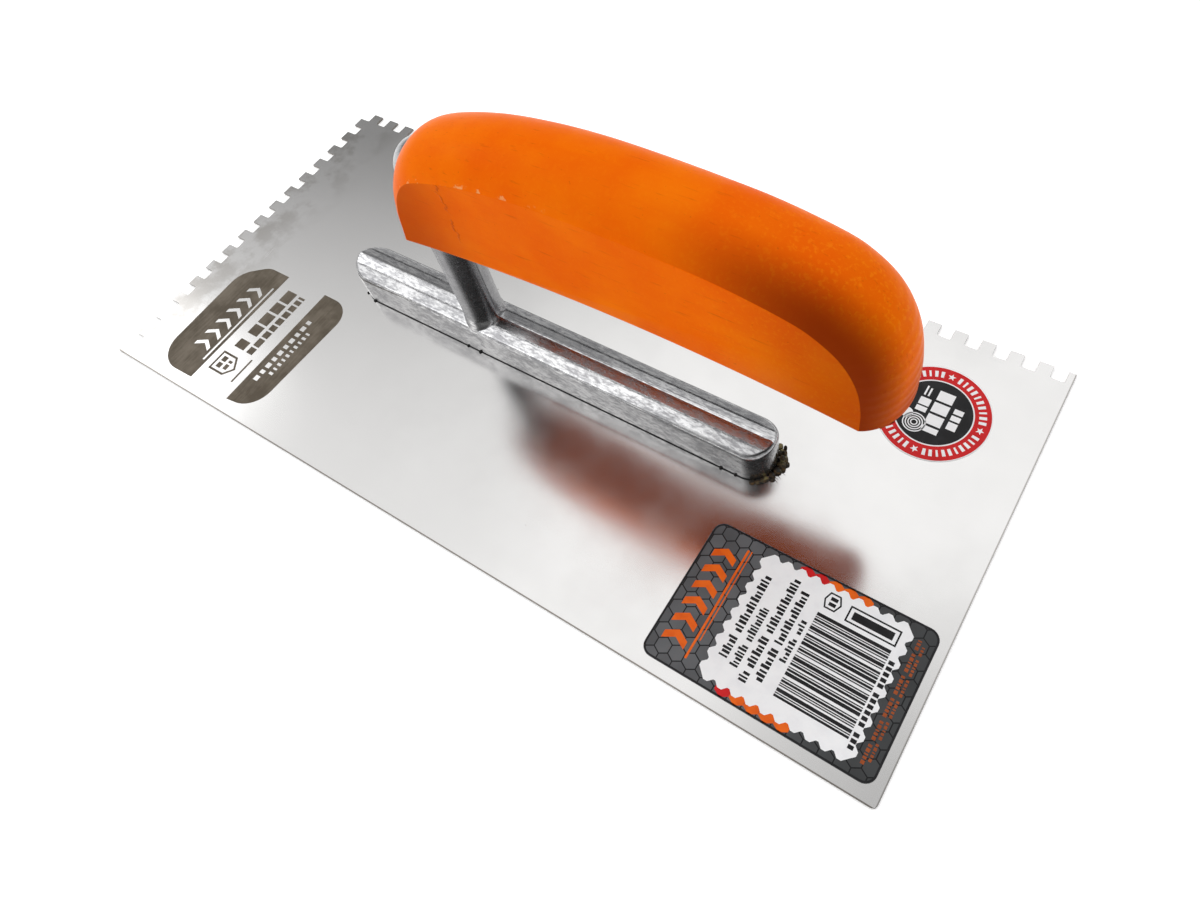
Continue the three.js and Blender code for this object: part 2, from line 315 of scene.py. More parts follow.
def even_spacing(points: Sequence[Vector], count: int) -> list[Vector]:
    """Spaces points evenly along a line of many short pieces.

    Args:
        points: The line's points.
        count: How many points come back, both ends included.

    Returns:
        The evenly spaced points.
    """
    travelled = [0.0]
    for before, after in zip(points, points[1:]):
        travelled.append(travelled[-1] + (after - before).length)
    spaced, piece = [], 0
    for index in range(count):
        target = travelled[-1] * index / (count - 1)
        while piece < len(points) - 2 and travelled[piece + 1] < target:
            piece += 1
        share = (target - travelled[piece]) / (travelled[piece + 1] - travelled[piece])
        spaced.append(points[piece].lerp(points[piece + 1], share))
    return spaced


def smooth_line(knots: Sequence[Vector], steps: int = 24) -> list[Vector]:
    """Runs a Catmull-Rom curve through knots.

    Args:
        knots: The points that the curve passes through.
        steps: How many pieces there are between two knots.

    Returns:
        The curve's points.
    """
    line = [knots[0]]
    for index in range(len(knots) - 1):
        a, b = knots[max(index - 1, 0)], knots[index]
        c, d = knots[index + 1], knots[min(index + 2, len(knots) - 1)]
        for step in range(1, steps + 1):
            t = step / steps
            line.append(
                0.5
                * (
                    2 * b
                    + (c - a) * t
                    + (2 * a - 5 * b + 4 * c - d) * t**2
                    + (3 * b - a - 3 * c + d) * t**3
                )
            )
    return line


def present(
    obj: Object,
    material: bpy.types.Material,
    slot: Slot,
    replaced: Sequence[str] = (),
    crease: float = 35.0,
) -> Object:
    """Finishes a piece: its place, material, shading, body and replaced nodes, and logs its slot.

    Args:
        obj: The finished piece.
        material: Its only material.
        slot: The record's slot that the finish belongs to.
        replaced: The CAD nodes that the piece stands for.
        crease: The angle in degrees past which an edge is shaded sharp.

    Returns:
        The piece.
    """
    settle_place(obj)
    obj.data.materials.clear()
    obj.data.materials.append(material)
    bpy.ops.object.shade_smooth_by_angle(angle=math.radians(crease))
    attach(obj, "root")
    if replaced:
        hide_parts(*replaced)
    LOG.info("%s, %d faces, %s", obj.name, len(obj.data.polygons), slot.value)
    return obj


# ------------------------------------------------------------------- finishes


class NodeBook:
    """A new material's node tree, with short calls for the nodes that the finishes use."""

    def __init__(self, name: str) -> None:
        """Makes the material and finds its shader.

        Args:
            name: The material's name.
        """
        self.material = bpy.data.materials.new(name)
        self.material.use_nodes = True
        self.tree = self.material.node_tree
        self.shader = self.tree.nodes["Principled BSDF"]

    def node(self, kind: str, sockets: dict[str | int, object], **settings: object) -> bpy.types.Node:
        """Adds a node.

        Args:
            kind: The node's type name without its ShaderNode prefix.
            sockets: Values or other nodes' sockets for its inputs.
            **settings: Values for the node's own properties.

        Returns:
            The node.
        """
        node = self.tree.nodes.new("ShaderNode" + kind)
        for key, value in settings.items():
            setattr(node, key, value)
        for key, value in sockets.items():
            if isinstance(value, bpy.types.NodeSocket):
                self.tree.links.new(value, node.inputs[key])
            else:
                node.inputs[key].default_value = value
        return node

    def place(self, scale: Colour = (1, 1, 1), turn: float = 0.0) -> Socket:
        """Gives the point on the object, scaled and turned about Z."""
        coords = self.node("TexCoord", {}).outputs["Object"]
        sockets = {"Vector": coords, "Scale": scale, "Rotation": (0, 0, turn)}
        return self.node("Mapping", sockets).outputs[0]

    def noise(self, vector: Socket, scale: float, detail: float = 3, rough: float = 0.55) -> Socket:
        """Gives a noise value from 0 to 1."""
        sockets = {"Vector": vector, "Scale": scale, "Detail": detail, "Roughness": rough}
        return self.node("TexNoise", sockets).outputs[0]

    def steps(self, value: Socket, low: float, high: float, to: Point = (0.0, 1.0)) -> Socket:
        """Maps a value smoothly from one range to another and stops at its ends."""
        sockets = {0: value, 1: low, 2: high, 3: to[0], 4: to[1]}
        return self.node("MapRange", sockets, interpolation_type="SMOOTHSTEP").outputs[0]

    def sum(self, operation: str, a: object, b: object = 0.0, c: object = 0.0) -> Socket:
        """Does one sum on numbers or sockets."""
        return self.node("Math", {0: a, 1: b, 2: c}, operation=operation).outputs[0]

    def vector(self, operation: str, a: object, b: object = (0, 0, 0)) -> bpy.types.Node:
        """Does one sum on vectors."""
        return self.node("VectorMath", {0: a, 1: b}, operation=operation)

    def blend(self, share: object, under: object, over: object, how: str = "MIX") -> Socket:
        """Mixes two colours by a share."""
        sockets = {"Factor": share, 6: self.rgba(under), 7: self.rgba(over)}
        return self.node("Mix", sockets, data_type="RGBA", blend_type=how).outputs[2]

    def axis(self, vector: Socket, index: int) -> Socket:
        """Gives one of a vector's three parts."""
        return self.node("SeparateXYZ", {0: vector}).outputs[index]

    def bump(self, height: Socket, depth: float, under: Socket | None = None) -> Socket:
        """Gives a normal for a height from 0 to 1 whose full step is depth metres."""
        sockets: dict[str | int, object] = {"Height": height, "Strength": 1.0, "Distance": depth}
        if under is not None:
            sockets["Normal"] = under
        return self.node("Bump", sockets).outputs[0]

    def finish(self, **inputs: object) -> bpy.types.Material:
        """Sets or links the shader's inputs, by name with _ for a space, and returns the material."""
        for key, value in inputs.items():
            socket = self.shader.inputs[key.replace("_", " ")]
            if isinstance(value, bpy.types.NodeSocket):
                self.tree.links.new(value, socket)
            else:
                socket.default_value = self.rgba(value)
        return self.material

    @staticmethod
    def rgba(value: object) -> object:
        """Adds the fourth number that a colour socket needs."""
        return (*value, 1.0) if isinstance(value, tuple) and len(value) == 3 else value


@dataclass(frozen=True)
class RolledSteel:
    """Bright rolled stainless sheet with a fine grain, smudges, specks and light scratches, and painted shade along
    its edges.
    """

    light: Colour = (0.515, 0.51, 0.505)
    dull: Colour = (0.45, 0.445, 0.44)
    # Colour of the dark specks, and of the painted shade along the sheet's edges.
    speck_and_edge_shade: Colour = (0.12, 0.105, 0.09)
    grime: Colour = (0.26, 0.245, 0.225)
    smooth: float = 0.155
    smudged: float = 0.245

    def build(self) -> bpy.types.Material:
        """Builds the material."""
        book = NodeBook("rolled_steel")
        spot = book.place()
        cloud = book.noise(spot, 22, 4, 0.6)
        grain = book.noise(book.place((30, 1600, 30)), 1.0, 2)
        cross = book.noise(book.place((900, 40, 40), 0.35), 1.0, 2)
        scratch = book.steps(cross, 0.74, 0.80)
        fleck = book.steps(book.noise(spot, 620, 2, 0.4), 0.80, 0.83)
        patch = book.steps(book.noise(spot, 45, 2), 0.52, 0.60)
        fleck = book.sum("MULTIPLY", fleck, patch)
        sheet = book.blend(cloud, self.light, self.dull)
        sheet = book.blend(book.steps(grain, 0.3, 0.7, (0.0, 0.10)), sheet, self.dull)
        sheet = book.blend(book.sum("MULTIPLY", fleck, 0.75), sheet, self.speck_and_edge_shade)
        # Painted shade: faces that are not flat, and thin strips along the near and right rims, are darkened to the
        # speck colour.
        facing = book.axis(book.node("NewGeometry", {}).outputs["Normal"], 2)
        edge = book.steps(book.sum("ABSOLUTE", facing), 0.93, 0.999, (0.88, 0.0))
        x, y = book.axis(spot, 0), book.axis(spot, 1)
        rim = book.steps(y, -63.74 * MM, -63.62 * MM, (0.9, 0.0))
        rim = book.sum("MAXIMUM", rim, book.steps(x, 134.62 * MM, 134.74 * MM, (0.0, 0.6)))
        edge = book.sum("MAXIMUM", edge, rim)
        dirt = book.steps(book.noise(spot, 75, 5, 0.65), 0.44, 0.62)
        dirt = book.sum("MULTIPLY", dirt, book.steps(x, -130 * MM, -108 * MM, (0.55, 0.0)))
        sheet = book.blend(dirt, sheet, self.grime)
        sheet = book.blend(edge, sheet, self.speck_and_edge_shade)
        rough = book.steps(cloud, 0.35, 0.75, (self.smooth, self.smudged))
        rough = book.sum("MULTIPLY_ADD", scratch, 0.12, rough)
        rough = book.sum("MULTIPLY_ADD", fleck, 0.3, rough)
        normal = book.bump(grain, 0.0006 * MM)
        normal = book.bump(scratch, 0.002 * MM, normal)
        return book.finish(Base_Color=sheet, Metallic=1.0, Roughness=rough, Normal=normal)


@dataclass(frozen=True)
class RawCasting:
    """Die-cast aluminium as it leaves the mould, mottled bright and grey with fine pits."""

    bright: Colour = (0.60, 0.60, 0.605)
    grey: Colour = (0.30, 0.30, 0.31)
    soot: Colour = (0.055, 0.052, 0.050)

    def build(self) -> bpy.types.Material:
        """Builds the material."""
        book = NodeBook("raw_casting")
        spot = book.place()
        streak = book.place((0.35, 1, 1))
        mottle = book.noise(streak, 1300, 5, 0.62)
        broad = book.noise(streak, 260, 4, 0.65)
        both = book.sum("MULTIPLY_ADD", broad, 0.7, mottle)
        patches = book.steps(both, 0.70, 1.02)
        rough_cast = book.steps(book.axis(spot, 2), 15 * MM, 19 * MM, (1.0, 0.25))
        patches = book.sum("MULTIPLY", patches, rough_cast)
        pits = book.steps(book.noise(spot, 1900, 3, 0.6), 0.60, 0.72)
        skin = book.blend(patches, self.grey, self.bright)
        skin = book.blend(book.sum("MULTIPLY", pits, 0.35), skin, self.soot)
        rough = book.steps(patches, 0.0, 1.0, (0.26, 0.16))
        rough = book.sum("MULTIPLY_ADD", pits, 0.12, rough)
        normal = book.bump(book.sum("MULTIPLY", broad, rough_cast), 0.022 * MM)
        normal = book.bump(book.sum("MULTIPLY", mottle, rough_cast), 0.006 * MM, normal)
        return book.finish(Base_Color=skin, Metallic=1.0, Roughness=rough, Normal=normal)


@dataclass(frozen=True)
class OrangeLacquer:
    """Orange translucent lacquer over close-grained wood, chipped along the cheeks' edges, with painted shade on the
    tail, the cheeks' ends and the downward faces, and painted glints towards the tail.
    """

    bright: Colour = (0.92, 0.185, 0.0012)
    deep: Colour = (0.84, 0.115, 0.0008)
    glint: Colour = (0.95, 0.27, 0.0060)
    # Stain colour for pores, dots and the crack; also the painted shade on downward faces.
    stain: Colour = (0.30, 0.040, 0.0020)
    # Painted shade colour for the tail's near rim, the tail's lower end and the cheeks' ends.
    painted_shade: Colour = (0.24, 0.026, 0.0020)
    bare: Colour = (0.90, 0.42, 0.16)
    crack_x: float = 1.0 * MM
    cheek_y: float = 11.8 * MM
    cutter_pitch: float = 2.7 * MM

    def build(self) -> bpy.types.Material:
        """Builds the material."""
        book = NodeBook("orange_lacquer")
        spot = book.place()
        fibre = book.noise(book.place((18, 260, 260)), 1.0, 4, 0.6)
        cloud = book.noise(spot, 32, 3)
        pores = book.noise(book.place((120, 1500, 1500)), 1.0, 2)
        dots = book.steps(book.noise(spot, 1500, 2, 0.4), 0.72, 0.80)
        coat = book.blend(book.steps(cloud, 0.3, 0.7), self.bright, self.deep)
        coat = book.blend(book.steps(fibre, 0.45, 0.75, (0.0, 0.35)), coat, self.deep)
        coat = book.blend(book.steps(pores, 0.62, 0.78, (0.0, 0.25)), coat, self.stain)
        coat = book.blend(book.sum("MULTIPLY", dots, 0.3), coat, self.stain)
        x, y, z = (book.axis(spot, index) for index in range(3))
        side = book.sum("ABSOLUTE", y)
        worn_place = book.sum("COMPARE", side, self.cheek_y - 0.30 * MM, 0.24 * MM)
        worn = book.steps(book.noise(book.place((260, 1, 260)), 1.0, 3, 0.7), 0.56, 0.62)
        worn = book.sum("MULTIPLY", worn, worn_place)
        worn = book.sum("MULTIPLY", worn, book.steps(x, 14 * MM, 42 * MM, (1.0, 0.0)))
        coat = book.blend(book.sum("MULTIPLY", worn, 0.7), coat, self.bare)
        wander = book.noise(book.place((1, 1, 230)), 1.0, 4, 0.7)
        line = book.sum("MULTIPLY_ADD", wander, 9 * MM, x)
        line = book.sum("ABSOLUTE", book.sum("SUBTRACT", line, self.crack_x + 4.5 * MM))
        crack = book.steps(line, 0.10 * MM, 0.45 * MM, (1.0, 0.0))
        low = book.steps(z, 63 * MM, 66 * MM)
        near = book.steps(y, -0.1 * MM - self.cheek_y + 0.4 * MM, -self.cheek_y + 1.2 * MM, (1.0, 0.0))
        crack = book.sum("MULTIPLY", crack, book.sum("MULTIPLY", low, near))
        crack = book.sum("MULTIPLY", crack, book.steps(book.noise(spot, 520, 3, 0.6), 0.42, 0.56))
        coat = book.blend(book.sum("MULTIPLY", crack, 0.35), coat, self.stain)
        # Painted highlight: small lighter glint flecks, more of them towards the tail.
        fleck = book.steps(book.noise(spot, 1100, 3, 0.6), 0.50, 0.68, (0.0, 0.38))
        fleck = book.sum("MULTIPLY", fleck, book.steps(x, 55 * MM, 95 * MM, (0.25, 1.0)))
        coat = book.blend(fleck, coat, self.glint)
        # Painted shade: the tail's near rim, the tail's lower end and the front and tail ends of the flat cheeks are
        # darkened.
        flat = book.steps(side, self.cheek_y - 0.10 * MM, self.cheek_y - 0.03 * MM)
        near_side = book.steps(y, -10.5 * MM, -0.5 * MM, (1.0, 0.0))
        painted_shade_mask = book.sum("MULTIPLY", book.steps(x, 50 * MM, 92 * MM), near_side)
        painted_shade_mask = book.sum("MULTIPLY", painted_shade_mask, book.steps(x, 100 * MM, 107 * MM, (0.97, 0.72)))
        tail_end_shade = book.sum("MULTIPLY", book.steps(x, 97 * MM, 103 * MM), book.steps(z, 55 * MM, 72 * MM, (0.55, 0.0)))
        painted_shade_mask = book.sum("MAXIMUM", painted_shade_mask, tail_end_shade)
        cheek = book.sum("ADD", book.steps(x, 64 * MM, 102 * MM, (0.0, 0.58)), book.steps(x, -18 * MM, 12 * MM, (0.50, 0.0)))
        painted_shade_mask = book.node("Mix", {"Factor": flat, 2: painted_shade_mask, 3: cheek}).outputs[0]
        coat = book.blend(painted_shade_mask, coat, self.painted_shade)
        # Painted shade: faces turned downwards are darkened towards the stain colour.
        below = book.axis(book.node("NewGeometry", {}).outputs["Normal"], 2)
        below = book.steps(below, -0.9, -0.5, (0.8, 0.0))
        coat = book.blend(below, coat, self.stain)
        rough = book.steps(cloud, 0.2, 0.8, (0.26, 0.38))
        normal = book.bump(fibre, 0.05 * MM)
        wave = book.sum("SINE", book.sum("MULTIPLY", z, TAU / self.cutter_pitch))
        tail = book.steps(x, 94 * MM, 103 * MM)
        normal = book.bump(book.sum("MULTIPLY", wave, tail), 0.035 * MM, normal)
        normal = book.bump(book.noise(spot, 420, 3), 0.02 * MM, normal)
        normal = book.bump(book.sum("MULTIPLY_ADD", worn, -0.6, crack), 0.12 * MM, normal)
        return book.finish(
            Base_Color=coat, Roughness=rough, Normal=normal, IOR=1.06
        )


@dataclass(frozen=True)
class PrintedInk:
    """One ink of a glossy printed label, with a faint uneven lay."""

    name: str
    colour: Colour
    faded: Colour
    rough: float = 0.32

    def build(self) -> bpy.types.Material:
        """Builds the material."""
        book = NodeBook(self.name)
        lay = book.noise(book.place(), 260, 3)
        ink = book.blend(book.steps(lay, 0.35, 0.8), self.colour, self.faded)
        rough = book.steps(lay, 0.2, 0.8, (self.rough, self.rough + 0.12))
        normal = book.bump(lay, 0.004 * MM)
        return book.finish(Base_Color=ink, Roughness=rough, Normal=normal, Specular_IOR_Level=0.12)


@dataclass(frozen=True)
class HexFilm:
    """Grey label film printed all over with hexagonal cells and dark joints, with painted shade over its +X part."""

    cell: Colour = (0.075, 0.078, 0.083)
    light_cell: Colour = (0.125, 0.130, 0.137)
    painted_shade_cell: Colour = (0.022, 0.024, 0.024)
    joint: Colour = (0.006, 0.006, 0.007)
    pitch: float = 3.9 * MM

    def build(self) -> bpy.types.Material:
        """Builds the material."""
        book = NodeBook("hex_film")
        span = (1.0, math.sqrt(3), 1.0)
        half = (0.5, math.sqrt(3) / 2, 0.5)
        spot = book.vector("ADD", book.place((1 / self.pitch,) * 3), (50, 50, 0)).outputs[0]
        flat = book.vector("MULTIPLY", spot, (1, 1, 0)).outputs[0]
        first = book.vector("SUBTRACT", book.vector("MODULO", flat, span).outputs[0], half)
        moved = book.vector("SUBTRACT", flat, half).outputs[0]
        second = book.vector("SUBTRACT", book.vector("MODULO", moved, span).outputs[0], half)
        flat_first = book.vector("MULTIPLY", first.outputs[0], (1, 1, 0)).outputs[0]
        flat_second = book.vector("MULTIPLY", second.outputs[0], (1, 1, 0)).outputs[0]
        nearer = book.sum(
            "LESS_THAN",
            book.vector("LENGTH", flat_first).outputs["Value"],
            book.vector("LENGTH", flat_second).outputs["Value"],
        )
        local = book.node(
            "Mix", {"Factor": nearer, 4: flat_second, 5: flat_first}, data_type="VECTOR"
        ).outputs[1]
        away = book.vector("ABSOLUTE", local).outputs[0]
        slant = book.vector("DOT_PRODUCT", away, (0.5, math.sqrt(3) / 2, 0)).outputs["Value"]
        reach = book.sum("MAXIMUM", slant, book.axis(away, 0))
        joint = book.steps(reach, 0.452, 0.472)
        cell = book.node("TexWhiteNoise", {"Vector": book.vector("SUBTRACT", flat, local).outputs[0]})
        shade = book.sum("MULTIPLY_ADD", book.noise(spot, 0.25, 2), 0.8, book.sum("MULTIPLY", cell.outputs[0], 0.25))
        film = book.blend(book.steps(shade, 0.3, 0.75), self.cell, self.light_cell)
        # Painted shade: the film darkens towards +X.
        film = book.blend(book.steps(book.axis(book.place(), 0), 98 * MM, 124 * MM, (0.0, 0.7)), film, self.painted_shade_cell)
        film = book.blend(joint, film, self.joint)
        normal = book.bump(joint, -0.006 * MM)
        return book.finish(Base_Color=film, Roughness=0.34, Normal=normal, Specular_IOR_Level=0.15)


@dataclass(frozen=True)
class EtchedSteel:
    """Steel etched to a matt brown-grey, cloudy and faintly streaked."""

    dark: Colour = (0.080, 0.063, 0.043)
    pale: Colour = (0.160, 0.134, 0.103)

    def build(self) -> bpy.types.Material:
        """Builds the material."""
        book = NodeBook("etched_steel")
        cloud = book.noise(book.place(), 95, 5, 0.65)
        streak = book.noise(book.place((1400, 120, 1)), 1.0, 3)
        tone = book.sum("MULTIPLY_ADD", streak, 0.4, cloud)
        skin = book.blend(book.steps(tone, 0.52, 0.95), self.dark, self.pale)
        normal = book.bump(book.noise(book.place(), 2600, 2), 0.006 * MM)
        return book.finish(Base_Color=skin, Metallic=0.3, Roughness=0.5, Normal=normal, Specular_IOR_Level=0.25)


@dataclass(frozen=True)
class CrustySealant:
    """Old sealant with dirt in it, brown, olive and black, rough all over."""

    dark: Colour = (0.012, 0.010, 0.007)
    brown: Colour = (0.11, 0.065, 0.025)
    olive: Colour = (0.24, 0.20, 0.085)

    def build(self) -> bpy.types.Material:
        """Builds the material."""
        book = NodeBook("crusty_sealant")
        spot = book.place()
        lump = book.noise(spot, 700, 5, 0.7)
        stain = book.noise(spot, 330, 3)
        crust = book.blend(book.steps(lump, 0.42, 0.62), self.dark, self.brown)
        crust = book.blend(book.steps(stain, 0.52, 0.68, (0.0, 0.9)), crust, self.olive)
        rough = book.steps(lump, 0.3, 0.7, (0.55, 0.95))
        normal = book.bump(lump, 0.25 * MM)
        return book.finish(Base_Color=crust, Roughness=rough, Normal=normal)


@dataclass(frozen=True)
class BlackSeam:
    """The dark film between the foot and the sheet."""

    black: Colour = (0.004, 0.004, 0.004)
    grey: Colour = (0.035, 0.032, 0.028)

    def build(self) -> bpy.types.Material:
        """Builds the material."""
        book = NodeBook("black_seam")
        grit = book.noise(book.place(), 900, 4, 0.7)
        film = book.blend(book.steps(grit, 0.5, 0.75), self.black, self.grey)
        normal = book.bump(grit, 0.05 * MM)
        return book.finish(Base_Color=film, Roughness=0.8, Normal=normal)


@dataclass(frozen=True)
class GroundRivet:
    """Aluminium rivet heads ground flush in one direction."""

    bright: Colour = (0.82, 0.82, 0.82)
    worn: Colour = (0.55, 0.55, 0.55)

    def build(self) -> bpy.types.Material:
        """Builds the material."""
        book = NodeBook("ground_rivet")
        lines = book.noise(book.place((120, 4200, 120)), 1.0, 3)
        skin = book.blend(book.steps(lines, 0.35, 0.7), self.bright, self.worn)
        rough = book.steps(lines, 0.3, 0.7, (0.28, 0.42))
        return book.finish(
            Base_Color=skin, Metallic=1.0, Roughness=rough, Normal=book.bump(lines, 0.006 * MM)
        )


@dataclass(frozen=True)
class CuredGlue:
    """Amber wood glue with small bubbles."""

    amber: Colour = (0.50, 0.32, 0.11)
    cloudy: Colour = (0.66, 0.50, 0.26)

    def build(self) -> bpy.types.Material:
        """Builds the material."""
        book = NodeBook("cured_glue")
        bubbles = book.noise(book.place(), 800, 3)
        body = book.blend(book.steps(bubbles, 0.4, 0.7), self.amber, self.cloudy)
        return book.finish(Base_Color=body, Roughness=0.35, Normal=book.bump(bubbles, 0.05 * MM))


@dataclass(frozen=True)
class StudioWhite:
    """Plain pale floor paint with a barely uneven tone."""

    pale: Colour = (0.93, 0.93, 0.93)

    def build(self) -> bpy.types.Material:
        """Builds the material."""
        book = NodeBook("studio_white")
        tone = book.noise(book.place(), 3, 2)
        paint = book.blend(tone, self.pale, (0.95, 0.95, 0.95))
        return book.finish(
            Base_Color=paint, Roughness=0.9, Emission_Color=(1, 1, 1), Emission_Strength=0.35
        )


INKS = {
    "white": PrintedInk("white_ink", (0.86, 0.87, 0.88), (0.80, 0.81, 0.83)),
    "black": PrintedInk("black_ink", (0.010, 0.010, 0.011), (0.022, 0.022, 0.024)),
    "orange": PrintedInk("orange_ink", (0.80, 0.135, 0.008), (0.66, 0.09, 0.006)),
    "red": PrintedInk("red_ink", (0.60, 0.014, 0.016), (0.50, 0.012, 0.014)),
    "rust": PrintedInk("rust_ink", (0.34, 0.075, 0.018), (0.22, 0.05, 0.015)),
}


# ---------------------------------------------------------------------- blade


@dataclass
class Blade:
    """The notched sheet, with its sheared edges eased."""

    edge_ease: float = 0.27 * MM
    flat_angle: float = math.radians(1)

    def build(self) -> None:
        """Builds the sheet from a merged copy of its CAD solid and dresses it."""
        node = frame["nodes"]["blade"]
        make_active(node)
        bpy.ops.object.duplicate()
        sheet = new_piece("notched_sheet")
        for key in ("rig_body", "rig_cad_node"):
            del sheet[key]
        bpy.ops.object.parent_clear(type="CLEAR_KEEP_TRANSFORM")
        face_outwards(sheet)
        with editing(sheet):
            bpy.ops.mesh.select_all(action="SELECT")
            bpy.ops.mesh.dissolve_limited(angle_limit=self.flat_angle)
        apply_modifier(
            sheet, "BEVEL", width=self.edge_ease, segments=2,
            limit_method="ANGLE", angle_limit=math.radians(60),
        )
        present(sheet, RolledSteel().build(), Slot.STEEL, ["blade"], crease=12.0)


# ----------------------------------------------------------------------- foot


@dataclass
class CastFoot:
    """The aluminium casting: gabled bar, post, elbow and the tang inside the handle."""

    start_x: float = -73 * MM
    end_x: float = 77 * MM
    half_width: float = 7 * MM
    shoulder_z: float = 12 * MM
    ridge_z: float = 14.5 * MM
    bottom_z: float = 0.95 * MM
    brow: float = 1.3 * MM
    ridge_tilt: float = math.radians(11)
    facet_ys: tuple[float, ...] = (0.0, 1.9 * MM, 5.3 * MM)
    end_steps: int = 64
    post_x: float = -20.3 * MM
    post_radius: float = 5.9 * MM
    elbow_radius: float = 5.95 * MM
    tang_z: float = 73 * MM
    tang_end: float = 36.7 * MM
    core_radius: float = 4.6 * MM
    barb_radius: float = 5.1 * MM
    barb_xs: tuple[float, ...] = (-5.3 * MM, 4.7 * MM, 14.7 * MM, 24.7 * MM)
    flash: float = 0.16 * MM

    def bar(self) -> Object:
        """Makes the bar: a long round-ended block whose top two planes cut to a gable."""
        turn = math.pi / self.end_steps
        bpy.ops.mesh.primitive_circle_add(
            vertices=self.end_steps,
            radius=self.half_width / math.cos(turn),
            fill_type="NGON",
            location=(self.start_x + self.half_width, 0, self.bottom_z),
            rotation=(0, 0, turn),
        )
        bar = new_piece("cast_foot")
        settle_place(bar)
        centre = self.start_x + self.half_width
        length = self.end_x - self.start_x - 2 * self.half_width
        with editing(bar):
            pick(bar, Kind.VERT, lambda place, _: place.x > centre)
            bpy.ops.transform.translate(value=(length, 0, 0))
            bpy.ops.mesh.select_all(action="SELECT")
            bpy.ops.mesh.extrude_region_move(
                TRANSFORM_OT_translate={"value": (0, 0, self.ridge_z)}
            )
            for side in (-1, 1):
                for touch in self.facet_ys:
                    height, slope = self.roof(touch)
                    bpy.ops.mesh.select_all(action="SELECT")
                    bpy.ops.mesh.bisect(
                        plane_co=(0, side * touch, height),
                        plane_no=Vector((0, side * slope, 1)).normalized(),
                        use_fill=True,
                        clear_outer=True,
                        threshold=WELD,
                    )
        face_outwards(bar)
        ledge = self.shoulder_z - 0.5 * MM
        bevel_edges(
            bar, self.brow, 6,
            lambda place, line: place.z > ledge
            and abs(line.normalized().z) < 0.9
            and not (abs(place.y) < self.half_width - WELD and line.length > 50 * MM),
        )
        return bar

    def roof(self, y: float) -> Point:
        """Gives the gable's height and slope at a distance from the middle."""
        shallow = math.tan(self.ridge_tilt)
        bend = (self.ridge_z - self.shoulder_z - shallow * self.half_width) / self.half_width**2
        return self.ridge_z - shallow * y - bend * y * y, shallow + 2 * bend * y

    def post(self) -> Object:
        """Makes the post, its flared root, the elbow and the barbed tang as one swept solid."""
        root_z = 9 * MM
        bpy.ops.mesh.primitive_circle_add(
            vertices=64, radius=self.post_radius, fill_type="NGON",
            location=(self.post_x, 0, root_z),
        )
        post = new_piece("post")
        settle_place(post)
        spin_z = self.tang_z - self.elbow_radius
        spin_x = self.post_x + self.elbow_radius
        flare = [
            (11.8, 6.8), (12.6, 6.55), (13.5, 6.38), (14.5, 6.25), (15.2, 6.05), (16.2, 5.93), (20.0, 5.9),
        ]
        with editing(post):
            bpy.ops.mesh.select_all(action="SELECT")
            bpy.ops.transform.resize(
                value=(6.8 / 5.9, 6.8 / 5.9, 1), center_override=(self.post_x, 0, root_z)
            )
            height, radius = root_z, 6.8 * MM
            for next_height, next_radius in [*flare, (spin_z / MM, 5.9)]:
                self.grow(
                    (0, 0, next_height * MM - height),
                    (next_radius * MM / radius, next_radius * MM / radius, 1),
                    (self.post_x, 0, next_height * MM),
                )
                height, radius = next_height * MM, next_radius * MM
            bpy.ops.mesh.spin(
                steps=14, angle=-math.pi / 2, center=(spin_x, 0, spin_z), axis=(0, 1, 0)
            )
            place, radius = spin_x, self.post_radius
            for next_place, next_radius in self.tang_profile(spin_x):
                share = next_radius / radius
                self.grow(
                    (next_place - place, 0, 0), (1, share, share), (next_place, 0, self.tang_z)
                )
                place, radius = next_place, next_radius
        face_outwards(post)
        return post

    def tang_profile(self, start: float) -> list[Point]:
        """Gives the tang's places along X and its radii there, from the elbow to its tip."""
        profile = [(start + 1 * MM, self.post_radius), (start + 3 * MM, self.core_radius)]
        for x in self.barb_xs:
            profile += [
                (x - 2 * MM, self.core_radius),
                (x - 1.9 * MM, self.barb_radius),
                (x + 2 * MM, self.core_radius),
            ]
        profile += [(self.tang_end - 2 * MM, self.core_radius), (self.tang_end, 3.1 * MM)]
        return profile

    @staticmethod
    def grow(move: tuple, size: tuple, centre: tuple) -> None:
        """Extrudes the selected end of a solid and resizes it about a point.

        Args:
            move: How far the end is moved.
            size: The factors along X, Y and Z.
            centre: The point that the end is resized about.
        """
        bpy.ops.mesh.extrude_region_move(TRANSFORM_OT_translate={"value": move})
        bpy.ops.transform.resize(value=size, center_override=centre)

    def flash_lines(self) -> list[Object]:
        """Makes the thin raised parting lines along the ridge and up the post's two sides."""
        middle = (self.start_x + self.end_x) / 2
        length = self.end_x - self.start_x - 5 * MM
        bars = [
            ((middle, 0, self.ridge_z - 0.1 * MM), (length, 2.2 * self.flash, 2 * self.flash)),
        ]
        low, high = self.ridge_z + 0.5 * MM, self.tang_z - self.elbow_radius
        for side in (-1, 1):
            x = self.post_x + side * self.post_radius
            bars.append(
                ((x, 0, (low + high) / 2), (1.4 * self.flash, 2 * self.flash, high - low))
            )
        made = []
        for place, size in bars:
            bpy.ops.mesh.primitive_cube_add(size=1, location=place, scale=size)
            line = new_piece("flash")
            settle_place(line)
            with editing(line):
                bpy.ops.mesh.select_all(action="SELECT")
                bpy.ops.mesh.bevel(offset=0.3 * self.flash, segments=2, affect="EDGES")
            made.append(line)
        return made

    def build(self) -> None:
        """Builds the casting as one solid and dresses it."""
        foot = self.bar()
        combine(foot, self.post(), Cut.JOIN)
        for line in self.flash_lines():
            combine(foot, line, Cut.JOIN)
        present(foot, RawCasting().build(), Slot.CASTING, ["foot"], crease=21.0)


# --------------------------------------------------------------------- handle


